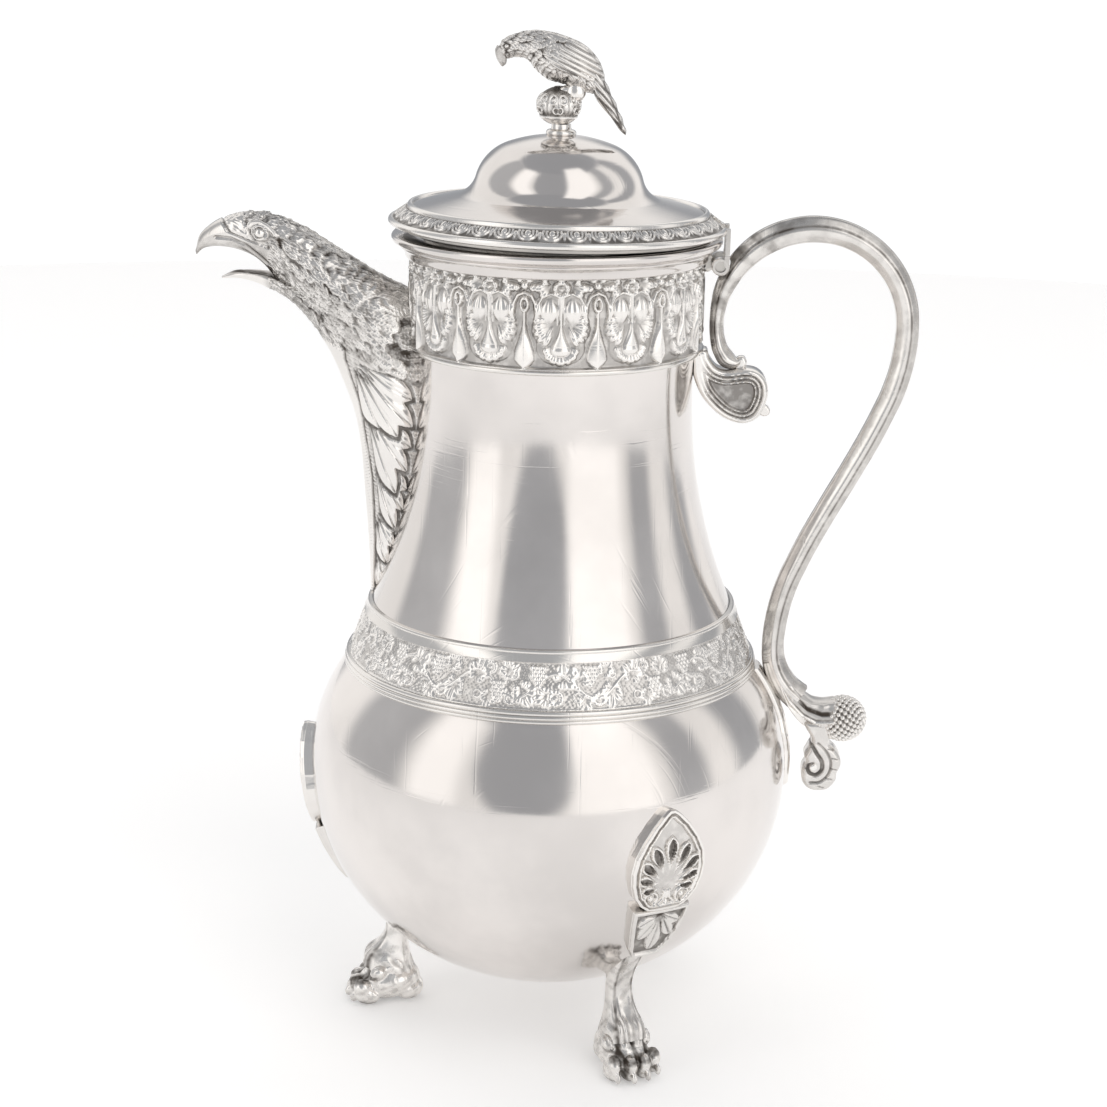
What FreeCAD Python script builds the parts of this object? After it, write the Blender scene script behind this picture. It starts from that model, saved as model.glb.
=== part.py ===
"""Footed silver coffee pot with an eagle spout, a scroll handle and a hinged lid.

Millimetres, +Z up.  The origin is on the ground under the pot's axis.  The spout points to -X and
the handle to +X.  Lid pieces are drawn closed, then turned open about the hinge by `ajar`.
"""
import FreeCAD, Part
import math
import os
import Sketcher

SIZES = {
    # body, a sheet silver shell in two pieces joined behind the vine band
    "wall": 0.9, "base_height": 17.0, "belly_radius": 64.8, "belly_height": 74.5,
    "bowl_curve": 60.0, "shoulder_curve": 45.5, "shoulder_height": 104.5, "seam_height": 111.0,
    "collar_height": 120.0, "collar_radius": 48.0, "neck_radius": 36.2, "waist_height": 177.0,
    "neck_curve": 144.0, "band_base": 187.3, "neck_top": 216.6,
    # strainer holes through the neck wall behind the spout
    "strainer_bore": 1.5, "strainer_low": 146.0, "strainer_pitch": 8.0, "strainer_side": 4.4,
    # applied bands and mouldings
    "bead_height": 1.6, "bead_radius": 38.6, "leaf_band_top": 211.5, "leaf_band_radius": 38.8,
    "rim_top": 217.6, "lip_radius": 43.1, "lip_base": 215.2, "thread_radius": 41.3,
    "cove_radius": 39.4, "vine_top": 116.9, "vine_bottom": 105.7, "vine_proud": 1.1,
    "vine_foot_proud": 1.4, "vine_thread": 1.2, "vine_thread_height": 119.9, "fillet_bottom": 102.2,
    "fillet_radius": 56.4,
    # lid
    "ajar": 0.9, "lid_base": 218.7, "lid_sheet": 1.0, "dome_top": 242.4, "crown_curve": 40.2,
    "crown_radius": 14.0, "crown_edge": 239.9, "dome_shoulder": 12.7, "dome_foot_radius": 21.6,
    "dome_foot": 231.4, "flare_curve": 7.0, "flare_radius": 26.5, "flare_height": 226.4,
    "flange_radius": 37.6, "flange_top": 223.7, "border_radius": 43.9, "border_inner": 37.6,
    "border_step": 39.0, "border_top": 224.3, "bead_top": 220.6, "bead_wall": 1.5,
    "bezel_radius": 34.4, "bezel_wall": 0.9, "bezel_bottom": 211.8, "bezel_flange": 40.4,
    "bezel_gap": 134.0, "notch_width": 8.0, "notch_depth": 39.6,
    # hinge
    "hinge_across": 42.3, "hinge_height": 210.8, "knuckle_radius": 2.3, "hinge_bore": 1.45,
    "hinge_pin": 1.4, "hinge_half": 7.0, "centre_knuckle": 6.6, "knuckle_gap": 0.4,
    "strap_inner": 43.35, "strap_outer": 44.5, "strap_top": 220.4, "pin_half": 5.9,
    # finial
    "stem_across": 0.0, "stem_collar": 3.8, "stem_radius": 2.5, "stem_top": 245.0,
    "globe_across": -0.8, "globe_height": 249.6, "globe_radius": 6.0, "globe_rise": 5.0,
    "globe_flat": 1.5,
    "bolt_radius": 1.2, "bolt_end": 234.5, "nut_across": 5.0, "nut_height": 2.2,
    "washer_radius": 3.6, "washer_height": 0.7,
    # handle rod: loop over the top, long sweep down the back, hook under to the berry
    "rod_radius": 3.1, "loop_across": 66.6, "loop_height": 195.4, "loop_curve": 25.0,
    "limb_radius": 2.0, "sweep_curve": 55.0, "sweep_turn": 26.0, "heel_across": 60.2,
    "heel_height": 107.0, "hook_curve": 17.0, "hook_turn": 62.0,
    "berry_across": 80.0, "berry_height": 87.2, "berry_radius": 6.6, "berry_flat": 0.6,
    "escutcheon_proud": 1.5, "escutcheon_half": 4.2, "escutcheon_top": 101.9,
    "escutcheon_foot": 67.0, "scroll_width": 8.4, "scroll_pin": 1.0, "curl_width": 8.0,
    # feet
    "foot_first": 30.0, "foot_step": 120.0, "leg_width": 7.4, "paw_width": 15.4,
    "panel_proud": 2.2, "plate_proud": 3.4, "plate_half": 10.6, "plate_top": 81.5,
    "plate_wide": 66.0, "plate_foot": 54.5, "panel_foot": 38.5,
}

# Stations up the spout, from its foot on the neck to the jaw: front point, back point, half width.
SPOUT_KEYS = ("front_x", "front_z", "back_x", "back_z", "half")
SPOUT_STATIONS = (
    (-48.9, 120.0, -42.0, 120.0, 2.4),
    (-49.8, 138.0, -34.0, 139.0, 5.6),
    (-51.2, 159.0, -30.0, 162.0, 8.4),
    (-56.0, 177.5, -29.0, 184.0, 10.6),
    (-64.4, 192.5, -35.0, 201.5, 11.4),
    (-70.0, 197.6, -47.0, 206.6, 10.8),
    (-76.0, 201.2, -58.0, 213.6, 9.2),
    (-80.5, 203.6, -67.5, 219.6, 7.8),
)
# Stations along the bird, from its bowed brow to its rump: across, height, half height, half width.
BIRD_KEYS = ("across", "height", "rise", "half")
BIRD_STATIONS = (
    (-16.6, 262.3, 2.4, 1.9),
    (-13.6, 262.4, 4.0, 3.4),
    (-9.6, 263.2, 5.2, 4.2),
    (-4.0, 262.0, 6.9, 5.4),
    (2.0, 260.3, 6.9, 5.6),
    (7.2, 258.6, 4.6, 4.6),
    (10.2, 257.4, 2.4, 3.0),
)

for part_name, keys, stations in (("spout", SPOUT_KEYS, SPOUT_STATIONS),
                                  ("bird", BIRD_KEYS, BIRD_STATIONS)):
    for number, station in enumerate(stations):
        for key, value in zip(keys, station):
            SIZES[f"{part_name}_{key}_at{number}"] = value

doc = FreeCAD.newDocument("coffee_pot")
sheet = doc.addObject("Spreadsheet::Sheet", "Sizes")
for row, (alias, value) in enumerate(SIZES.items(), start=1):
    sheet.set(f"A{row}", alias)
    sheet.set(f"B{row}", str(value))
    sheet.setAlias(f"B{row}", alias)
doc.recompute()


class Size:
    """A length with the sheet expression that it follows."""

    def __init__(self, value, text):
        self.value = value
        self.text = text

    def __add__(self, other):
        other = size_of(other)
        return Size(self.value + other.value, f"({self.text} + {other.text})")

    def __sub__(self, other):
        other = size_of(other)
        return Size(self.value - other.value, f"({self.text} - {other.text})")

    def __mul__(self, other):
        other = size_of(other)
        return Size(self.value * other.value, f"({self.text} * {other.text})")

    def __truediv__(self, other):
        other = size_of(other)
        return Size(self.value / other.value, f"({self.text} / {other.text})")

    def __radd__(self, other):
        return size_of(other) + self

    def __rsub__(self, other):
        return size_of(other) - self

    def __neg__(self):
        return self * -1


def size_of(value):
    """A plain number as a Size."""
    return value if isinstance(value, Size) else Size(float(value), f"({float(value)!r})")


def root(size):
    return Size(math.sqrt(size.value), f"sqrt({size.text})")


def cosine(degrees):
    return Size(math.cos(math.radians(degrees.value)), f"cos({degrees.text} * 1deg)")


def sine(degrees):
    return Size(math.sin(math.radians(degrees.value)), f"sin({degrees.text} * 1deg)")


def named(alias):
    """The sheet's size of that name."""
    return Size(SIZES[alias], f"Sizes.{alias}")


class Sheet:
    """Lets the sheet's sizes be read as attributes."""

    def __getattr__(self, alias):
        return named(alias)


S = Sheet()


# ---------------------------------------------------------------- sketches and features

def new_body(label):
    body = doc.addObject("PartDesign::Body", label)
    body.Label = label
    return body


def plane(body, role):
    return next(f for f in body.Origin.OriginFeatures if f.Role == role)


def new_sketch(body, role, offset=None):
    """An empty sketch on one of the body's own origin planes; offset is (x, y, z, turn about Y)."""
    sketch = body.newObject("Sketcher::SketchObject", f"{body.Label}_sketch")
    sketch.AttachmentSupport = (plane(body, role), "")
    sketch.MapMode = "FlatFace"
    if offset:
        across, side, up, turn = offset
        turning = FreeCAD.Rotation(FreeCAD.Vector(0, 1, 0), turn)
        sketch.AttachmentOffset = FreeCAD.Placement(FreeCAD.Vector(across, side, up), turning)
    return sketch


def arc_geometry(start, end, radius):
    """Minor arc from start to end: counter-clockwise when the radius is positive."""
    chord = end - start
    lift = math.sqrt(max(radius * radius - chord.Length ** 2 / 4, 0.0))
    left = FreeCAD.Vector(-chord.y, chord.x, 0).normalize()
    centre = (start + end) / 2 + left * math.copysign(lift, radius)
    first, last = (start, end) if radius > 0 else (end, start)
    first_angle = math.atan2(first.y - centre.y, first.x - centre.x)
    last_angle = math.atan2(last.y - centre.y, last.x - centre.x)
    circle = Part.Circle(centre, FreeCAD.Vector(0, 0, 1), abs(radius))
    return Part.ArcOfCircle(circle, first_angle, last_angle)


def draw(sketch, corners, closed=True):
    """Lines and arcs through corners (across, up[, radius of the arc that leaves the corner]).

    Every coordinate and radius is bound to the sheet.
    """
    corners = [tuple(size_of(value) for value in corner) for corner in corners]
    points = [FreeCAD.Vector(corner[0].value, corner[1].value, 0) for corner in corners]
    count = len(corners) if closed else len(corners) - 1
    ends = []
    for index in range(count):
        start, end = points[index], points[(index + 1) % len(points)]
        if len(corners[index]) == 3:
            radius = corners[index][2]
            edge = sketch.addGeometry(arc_geometry(start, end, radius.value), False)
            ends.append((edge, 1, 2) if radius.value > 0 else (edge, 2, 1))
        else:
            edge = sketch.addGeometry(Part.LineSegment(start, end), False)
            ends.append((edge, 1, 2))
    for index in range(count if closed else count - 1):
        edge, _, last = ends[index]
        following, first, _ = ends[(index + 1) % count]
        sketch.addConstraint(Sketcher.Constraint("Coincident", edge, last, following, first))
    pins = [(corners[index], *ends[index][:2]) for index in range(count)]
    if not closed:
        pins.append((corners[-1], ends[-1][0], ends[-1][2]))
    for corner, edge, point in pins:
        for kind, size in zip(("DistanceX", "DistanceY"), corner):
            bind(sketch, Sketcher.Constraint(kind, -1, 1, edge, point, size.value), size)
    for index in range(count):
        if len(corners[index]) == 3:
            radius = corners[index][2]
            absolute = radius if radius.value > 0 else -radius
            edge = ends[index][0]
            bind(sketch, Sketcher.Constraint("Radius", edge, absolute.value), absolute)
    return sketch


def bind(sketch, constraint, size):
    """Adds a constraint whose value follows the sheet."""
    number = sketch.addConstraint(constraint)
    if "Sizes." in size.text:
        sketch.setExpression(f"Constraints[{number}]", size.text)


def circle(sketch, across, up, radius):
    """A circle whose centre and radius follow the sheet."""
    across, up, radius = size_of(across), size_of(up), size_of(radius)
    centre = FreeCAD.Vector(across.value, up.value, 0)
    edge = sketch.addGeometry(Part.Circle(centre, FreeCAD.Vector(0, 0, 1), radius.value), False)
    bind(sketch, Sketcher.Constraint("DistanceX", -1, 1, edge, 3, across.value), across)
    bind(sketch, Sketcher.Constraint("DistanceY", -1, 1, edge, 3, up.value), up)
    bind(sketch, Sketcher.Constraint("Radius", edge, radius.value), radius)
    return sketch


def add(body, kind, sketch):
    feature = body.newObject(f"PartDesign::{kind}", f"{body.Label}_{kind}")
    feature.Profile = sketch
    sketch.Visibility = False
    return feature


def turn(body, corners, kind="Revolution", angle=None):
    """Turns an outline (radius, height) about +Z; Groove cuts it away instead."""
    sketch = draw(new_sketch(body, "XZ_Plane"), corners)
    feature = add(body, kind, sketch)
    feature.ReferenceAxis = (sketch, ["V_Axis"])
    if angle:
        feature.Angle = angle.value
        feature.Midplane = True
        feature.setExpression("Angle", angle.text)
    else:
        feature.Angle = 360
    doc.recompute()
    return feature


def slab(body, role, corners, length, kind="Pad", midplane=True, reverse=False, offset=None):
    """Pads (or pockets) an outline on an origin plane."""
    sketch = draw(new_sketch(body, role, offset), corners)
    feature = add(body, kind, sketch)
    length = size_of(length)
    feature.Length = length.value
    if "Sizes." in length.text:
        feature.setExpression("Length", length.text)
    feature.Midplane = midplane
    feature.Reversed = reverse
    doc.recompute()
    return feature


def cut_checked(body, make_cut):
    """Runs a cut and makes sure that it took material away."""
    before = body.Shape.Volume
    make_cut()
    doc.recompute()
    if body.Shape.Volume > before - 1e-3:
        raise RuntimeError(f"a cut in {body.Label} removes nothing")


# ---------------------------------------------------------------- curves of the body

def belly_radius_at(height, offset=0.0):
    """Outer radius of the belly above its widest place."""
    curve = S.shoulder_curve + offset
    rise = height - S.belly_height
    return S.belly_radius - S.shoulder_curve + root(curve * curve - rise * rise)


def bowl_radius_at(height, offset=0.0):
    """Outer radius of the belly below its widest place."""
    curve = S.bowl_curve + offset
    drop = S.belly_height - height
    return S.belly_radius - S.bowl_curve + root(curve * curve - drop * drop)


def neck_radius_at(height, offset=0.0):
    curve = S.neck_curve - offset
    rise = S.waist_height - height
    return S.neck_radius + S.neck_curve - root(curve * curve - rise * rise)


def collar_radius_at(height, offset=0.0):
    """Radius on the cone between the neck's foot and the shoulder."""
    foot = belly_radius_at(S.shoulder_height)
    share = (S.collar_height - height) / (S.collar_height - S.shoulder_height)
    return S.collar_radius + (foot - S.collar_radius) * share + offset


def belly_inside(offset=0.0, top=None):
    """Closed outline of everything within the belly's outer surface, grown by offset."""
    base = S.base_height - offset
    top = S.shoulder_height if top is None else top
    return [(0, base), (bowl_radius_at(base, offset), base, S.bowl_curve + offset),
            (S.belly_radius + offset, S.belly_height, S.shoulder_curve + offset),
            (belly_radius_at(top, offset), top), (0, top)]


def outside_belly(offset, low, high):
    """Closed outline of the space outside the belly grown by offset, between two heights."""
    far = S.belly_radius + 20
    return [(bowl_radius_at(low, offset), low), (far, low), (far, high),
            (belly_radius_at(high, offset), high, -(S.shoulder_curve + offset)),
            (S.belly_radius + offset, S.belly_height, -(S.bowl_curve + offset))]


def neck_inside():
    """Closed outline of everything within the neck's outer surface and its bands."""
    return [(0, S.shoulder_height - 3), (belly_radius_at(S.shoulder_height - 3), S.shoulder_height - 3),
            (belly_radius_at(S.shoulder_height), S.shoulder_height),
            (S.collar_radius, S.collar_height, -S.neck_curve),
            (neck_radius_at(S.band_base), S.band_base), (S.bead_radius, S.band_base),
            (S.bead_radius, S.band_base + S.bead_height),
            (S.leaf_band_radius, S.band_base + S.bead_height),
            (S.leaf_band_radius, S.leaf_band_top), (0, S.leaf_band_top)]


# ---------------------------------------------------------------- the vessel

def belly_shell():
    body = new_body("belly_shell")
    inner_base = S.base_height + S.wall
    inner = -S.wall
    turn(body, [
        (0, S.base_height),
        (bowl_radius_at(S.base_height), S.base_height, S.bowl_curve),
        (S.belly_radius, S.belly_height, S.shoulder_curve),
        (belly_radius_at(S.shoulder_height), S.shoulder_height),
        (collar_radius_at(S.seam_height), S.seam_height),
        (collar_radius_at(S.seam_height) - S.wall, S.seam_height),
        (belly_radius_at(S.shoulder_height, inner), S.shoulder_height, -(S.shoulder_curve - S.wall)),
        (S.belly_radius - S.wall, S.belly_height, -(S.bowl_curve - S.wall)),
        (bowl_radius_at(inner_base, inner), inner_base),
        (0, inner_base)])


def neck_shell():
    body = new_body("neck_shell")
    straight = neck_radius_at(S.band_base)
    turn(body, [
        (collar_radius_at(S.seam_height), S.seam_height),
        (S.collar_radius, S.collar_height, -S.neck_curve),
        (straight, S.band_base),
        (straight, S.neck_top),
        (straight - S.wall, S.neck_top),
        (straight - S.wall, S.band_base, S.neck_curve + S.wall),
        (S.collar_radius - S.wall, S.collar_height),
        (collar_radius_at(S.seam_height) - S.wall, S.seam_height)])
    # three staggered columns of strainer holes through the wall behind the spout
    sketch = new_sketch(body, "YZ_Plane")
    for level in range(5):
        middle = S.strainer_low + S.strainer_pitch * level
        circle(sketch, 0, middle, S.strainer_bore)
        if level < 4:
            for side in (-1, 1):
                circle(sketch, S.strainer_side * side, middle + S.strainer_pitch / 2, S.strainer_bore)

    def drill():
        holes = add(body, "Pocket", sketch)
        holes.Length = SIZES["belly_radius"]
        holes.setExpression("Length", "Sizes.belly_radius")
        holes.Midplane = False
        holes.Reversed = False

    cut_checked(body, drill)


def neck_bands():
    wall = neck_radius_at(S.band_base)
    bead_top = S.band_base + S.bead_height
    body = new_body("neck_band_lower_bead")
    turn(body, [(wall, S.band_base), (S.bead_radius - 0.6, S.band_base, S.bead_height / 2 + 0.05),
                (S.bead_radius - 0.6, bead_top), (wall, bead_top)])
    body = new_body("neck_leaf_band")
    turn(body, [(wall, bead_top), (S.leaf_band_radius, bead_top),
                (S.leaf_band_radius, S.leaf_band_top), (wall, S.leaf_band_top)])
    body = new_body("mouth_rim")
    turn(body, [(wall, S.leaf_band_top), (S.cove_radius - 0.2, S.leaf_band_top),
                (S.cove_radius, S.leaf_band_top + 0.6, -7.0), (S.thread_radius - 0.6, S.lip_base - 0.9),
                (S.thread_radius, S.lip_base - 0.7), (S.thread_radius, S.lip_base - 0.2),
                (S.lip_radius - 0.4, S.lip_base, 1.6), (S.lip_radius - 0.1, S.rim_top - 0.4),
                (S.lip_radius - 0.6, S.rim_top), (wall - S.wall, S.rim_top),
                (wall - S.wall, S.neck_top), (wall, S.neck_top)])


def vine_bands():
    body = new_body("vine_band_upper_moulding")
    high, low = S.vine_thread_height, S.vine_top
    turn(body, [(collar_radius_at(low), low), (collar_radius_at(low, S.vine_proud * 0.6), low, -4.0),
                (collar_radius_at(high - 1, S.vine_thread * 0.7), high - 1, 0.6),
                (collar_radius_at(high, S.vine_thread * 0.7), high), (collar_radius_at(high), high)])
    body = new_body("vine_band")
    high, low = S.vine_top, S.vine_bottom
    turn(body, [(collar_radius_at(low), low), (collar_radius_at(low, S.vine_foot_proud), low),
                (collar_radius_at(high, S.vine_proud), high), (collar_radius_at(high), high)])
    body = new_body("vine_band_lower_moulding")
    foot = S.fillet_bottom
    middle = S.shoulder_height
    turn(body, [(belly_radius_at(foot), foot, S.shoulder_curve),
                (belly_radius_at(middle), middle), (collar_radius_at(S.vine_bottom), S.vine_bottom),
                (S.fillet_radius - 1.9, S.vine_bottom), (S.fillet_radius - 1.1, middle - 0.1, -1.4),
                (S.fillet_radius - 0.9, middle - 0.9, -0.6), (S.fillet_radius - 0.6, foot + 0.7, -0.6),
                (S.fillet_radius - 0.4, foot)])


# ---------------------------------------------------------------- the spout

def spout_section(body, number, inset):
    """Teardrop section at a station: narrow at the front, broad towards the neck."""
    front_x, front_z, back_x, back_z = (SIZES[f"spout_{key}_at{number}"] for key in SPOUT_KEYS[:4])
    tilt = math.degrees(math.atan2(back_z - front_z, back_x - front_x))
    sketch = new_sketch(body, "XY_Plane", (front_x, 0, front_z, -tilt))
    aliases = {key: named(f"spout_{key}_at{number}") for key in SPOUT_KEYS}
    run = aliases["back_x"] - aliases["front_x"]
    rise = aliases["back_z"] - aliases["front_z"]
    length = root(run * run + rise * rise)
    sketch.setExpression("AttachmentOffset.Base.x", aliases["front_x"].text)
    sketch.setExpression("AttachmentOffset.Base.z", aliases["front_z"].text)
    nose, heel = length * 0.16 + inset, length * 0.74 - inset * 0.5
    shoulder, hip = aliases["half"] * 0.66 - inset, aliases["half"] - inset
    nose_depth, heel_depth = length * 0.16, length * 0.26 - inset * 0.5
    nose_curve = (shoulder * shoulder + nose_depth * nose_depth) / (nose_depth * 2)
    heel_curve = (hip * hip + heel_depth * heel_depth) / (heel_depth * 2)
    return draw(sketch, [(nose, -shoulder, length * 2.4), (heel, -hip, heel_curve),
                         (heel, hip, length * 2.4), (nose, shoulder, nose_curve)])


def spout_half(label, side):
    """One cast half of the spout; the halves meet on the plane of the spout and handle."""
    body = new_body(label)
    # head: brow, hooked upper beak and open lower beak, as one flat-sided block
    slab(body, "XZ_Plane", [
        (-76.5, 206.5), (-80.0, 209.6, -14.0), (-88.8, 212.2, 9.0), (-94.4, 210.4), (-94.5, 213.4, -8.5),
        (-88.6, 219.6), (-83.6, 221.9, -14.0), (-72.0, 220.6), (-66.0, 216.0), (-68.0, 204.0)], 10.4)
    slab(body, "XZ_Plane", [
        (-76.0, 206.8), (-81.5, 206.4), (-87.7, 203.4, 12.0), (-81.5, 202.4), (-72.0, 199.6),
        (-70.0, 204.0)], 8.0)
    for kind, inset in (("AdditiveLoft", 0.0), ("SubtractiveLoft", 1.3)):
        first = 0 if kind == "AdditiveLoft" else 1
        sections = [spout_section(body, number, inset) for number in range(first, len(SPOUT_STATIONS))]
        loft = add(body, kind, sections[0])
        loft.Sections = sections[1:]
        loft.Ruled = True
        doc.recompute()
    # bore from the throat out between the beaks
    sketch = new_sketch(body, "XY_Plane", (-66.0, 0, 208.0, 78.0))
    circle(sketch, 0, 0, 4.0)

    def bore():
        hole = add(body, "Pocket", sketch)
        hole.Length = 18
        hole.Midplane = False
        hole.Reversed = False

    cut_checked(body, bore)
    cut_checked(body, lambda: turn(body, neck_inside(), "Groove"))
    far = S.belly_radius + 60
    cut_checked(body, lambda: slab(body, "XZ_Plane", [
        (-far, 90), (0, 90), (0, 240), (-far, 240)], 30, "Pocket", False, side > 0))


# ---------------------------------------------------------------- the lid

def open_lid(feature):
    """Turns a closed lid piece about the hinge to where the lid rests, a little ajar."""
    pivot = FreeCAD.Vector(SIZES["hinge_across"], 0, SIZES["hinge_height"])
    turning = FreeCAD.Rotation(FreeCAD.Vector(0, 1, 0), SIZES["ajar"])
    feature.Placement = FreeCAD.Placement(FreeCAD.Vector(0, 0, 0), turning, pivot)


def lid_dome():
    body = new_body("lid_dome")
    under = S.flange_top - S.lid_sheet
    sheet_gauge = S.lid_sheet
    turn(body, [
        (S.flange_radius, under), (S.flange_radius, S.flange_top),
        (S.flare_radius, S.flare_height, -S.flare_curve), (S.dome_foot_radius, S.dome_foot, S.dome_shoulder),
        (S.crown_radius, S.crown_edge, S.crown_curve), (0, S.dome_top),
        (0, S.dome_top - sheet_gauge, -(S.crown_curve - sheet_gauge)),
        (S.crown_radius - sheet_gauge * 0.35, S.crown_edge - sheet_gauge * 0.94,
         -(S.dome_shoulder - sheet_gauge)),
        (S.dome_foot_radius - sheet_gauge * 0.96, S.dome_foot - sheet_gauge * 0.26,
         S.flare_curve + sheet_gauge),
        (S.flare_radius - sheet_gauge * 0.28, S.flare_height - sheet_gauge * 0.96)])
    hole = new_sketch(body, "XY_Plane")
    circle(hole, S.stem_across, 0, S.bolt_radius)

    def drill():
        bore = add(body, "Pocket", hole)
        bore.Length = 300
        bore.Midplane = False
        bore.Reversed = True

    cut_checked(body, drill)
    open_lid(body)


def notch(body):
    """Slot at the back of a lid piece, which straddles the handle when the lid is open."""
    half = S.notch_width / 2
    far = S.border_radius + 6
    cut_checked(body, lambda: slab(body, "XY_Plane", [
        (S.notch_depth, -half), (far, -half), (far, half), (S.notch_depth, half)],
        300, "Pocket", False, True))


def lid_border():
    body = new_body("lid_border")
    inner_wall = S.border_radius - S.bead_wall
    turn(body, [
        (inner_wall, S.lid_base), (S.border_radius - 0.4, S.lid_base),
        (S.border_radius, S.lid_base + 0.4), (S.border_radius, S.bead_top - 0.6, 0.7),
        (S.border_radius - 0.6, S.bead_top), (S.border_step, S.border_top - 0.7),
        (S.border_step - 0.2, S.border_top), (S.border_inner, S.border_top),
        (S.border_inner, S.flange_top - S.lid_sheet), (inner_wall, S.bead_top - 1)])
    notch(body)
    open_lid(body)


def lid_bezel():
    """Locating ring under the lid: its wall enters the mouth, its flange rests on the rim."""
    body = new_body("lid_bezel")
    inner = S.bezel_radius - S.bezel_wall
    rest = S.rim_top + 0.05
    top = S.flange_top - S.lid_sheet
    turn(body, [(inner, S.bezel_bottom), (S.bezel_radius, S.bezel_bottom), (S.bezel_radius, rest),
                (S.bezel_flange, rest), (S.bezel_flange, rest + S.bezel_wall),
                (S.bezel_radius, rest + S.bezel_wall), (S.bezel_radius, top), (inner, top)])
    cut_checked(body, lambda: turn(body, [
        (inner - 1, S.bezel_bottom - 1), (S.bezel_radius + 0.5, S.bezel_bottom - 1),
        (S.bezel_radius + 0.5, rest + 0.001), (inner - 1, rest + 0.001)], "Groove", S.bezel_gap))
    notch(body)
    open_lid(body)


def hinge():
    axis_x, axis_z = S.hinge_across, S.hinge_height
    body = new_body("hinge_body_knuckle")
    centre = new_sketch(body, "XZ_Plane")
    circle(centre, axis_x, axis_z, S.knuckle_radius)
    barrel = add(body, "Pad", centre)
    barrel.Midplane = True
    barrel.Length = SIZES["centre_knuckle"]
    barrel.setExpression("Length", "Sizes.centre_knuckle")
    slab(body, "XZ_Plane", [
        (S.leaf_band_radius - 2, axis_z - 2), (axis_x - 1, axis_z - 2), (axis_x - 1, axis_z + 2),
        (S.leaf_band_radius - 2, axis_z + 2)], S.centre_knuckle)
    cut_checked(body, lambda: bore_along_hinge(body, S.hinge_pin))
    rim = S.thread_radius + 2
    cut_checked(body, lambda: turn(body, [
        (0, axis_z - 6), (S.leaf_band_radius, axis_z - 6), (S.leaf_band_radius, S.leaf_band_top),
        (S.cove_radius, S.leaf_band_top), (S.cove_radius, S.leaf_band_top + 0.6, -7.0),
        (S.thread_radius - 0.6, S.lip_base - 0.9), (rim, S.lip_base), (0, S.lip_base)], "Groove"))

    body = new_body("hinge_pin")
    shank = new_sketch(body, "XZ_Plane")
    circle(shank, axis_x, axis_z, S.hinge_pin)
    pin = add(body, "Pad", shank)
    pin.Midplane = True
    pin.Length = SIZES["pin_half"] * 2
    pin.setExpression("Length", "Sizes.pin_half * 2")

    gap = S.centre_knuckle / 2 + S.knuckle_gap
    width = S.hinge_half - gap
    for label, side in (("hinge_lid_knuckle_front", -1), ("hinge_lid_knuckle_back", 1)):
        body = new_body(label)
        offset = (0, 0, -side * (gap.value + width.value / 2), 0)
        sketch = new_sketch(body, "XZ_Plane", offset)
        circle(sketch, axis_x, axis_z, S.knuckle_radius)
        barrel = add(body, "Pad", sketch)
        barrel.Midplane = True
        barrel.Length = width.value
        barrel.setExpression("Length", width.text)
        slab(body, "XZ_Plane", [(S.strap_inner, axis_z), (S.strap_outer, axis_z),
                                (S.strap_outer, S.strap_top), (S.strap_inner, S.strap_top)],
             width, offset=offset)
        cut_checked(body, lambda: bore_along_hinge(body, S.hinge_bore))
        cut_checked(body, lambda: turn(body, [
            (0, S.lid_base), (S.border_radius, S.lid_base), (S.border_radius, S.strap_top + 1),
            (0, S.strap_top + 1)], "Groove"))
        open_lid(body)


def bore_along_hinge(body, radius):
    sketch = new_sketch(body, "XZ_Plane")
    circle(sketch, S.hinge_across, S.hinge_height, radius)
    hole = add(body, "Pocket", sketch)
    hole.Midplane = True
    hole.Length = 40


# ---------------------------------------------------------------- the finial

def finial():
    across = FreeCAD.Vector(SIZES["stem_across"], 0, 0)
    body = new_body("finial_stem")
    base = S.dome_top
    crown = S.dome_top - 0.3
    turn(body, [(S.bolt_radius, crown), (S.stem_collar, crown), (S.stem_collar, base + 0.5, 0.8),
                (S.stem_radius, base + 1.4), (S.stem_radius, S.stem_top), (S.bolt_radius, S.stem_top)])
    cut_checked(body, lambda: turn(body, [
        (0, crown - 2), (S.crown_radius, crown - 2), (S.crown_radius, S.crown_edge, S.crown_curve),
        (0, S.dome_top)], "Groove"))
    place_on_lid(body, across)

    body = new_body("finial_globe")
    turn_globe(body)
    place_on_lid(body, FreeCAD.Vector(SIZES["globe_across"], 0, 0))

    body = new_body("finial_bolt")
    turn(body, [(0, S.bolt_end), (S.bolt_radius, S.bolt_end), (S.bolt_radius, S.stem_top),
                (0, S.stem_top)])
    place_on_lid(body, across)
    under = S.dome_top - S.lid_sheet - 0.1
    body = new_body("finial_washer")
    turn(body, [(S.bolt_radius, under - S.washer_height), (S.washer_radius, under - S.washer_height),
                (S.washer_radius, under - 0.17), (S.bolt_radius, under)])
    place_on_lid(body, across)
    body = new_body("finial_nut")
    nut_top = SIZES["dome_top"] - SIZES["lid_sheet"] - SIZES["washer_height"] - 0.1
    sketch = new_sketch(body, "XY_Plane", (0, 0, nut_top, 0))
    corner = S.nut_across / math.sqrt(3)
    side = S.nut_across / 2
    draw(sketch, [(corner, 0), (corner / 2, side), (-corner / 2, side), (-corner, 0),
                  (-corner / 2, -side), (corner / 2, -side)])
    circle(sketch, 0, 0, S.bolt_radius)
    pad = add(body, "Pad", sketch)
    pad.Length = SIZES["nut_height"]
    pad.setExpression("Length", "Sizes.nut_height")
    pad.Midplane = False
    pad.Reversed = True
    place_on_lid(body, across)


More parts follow.
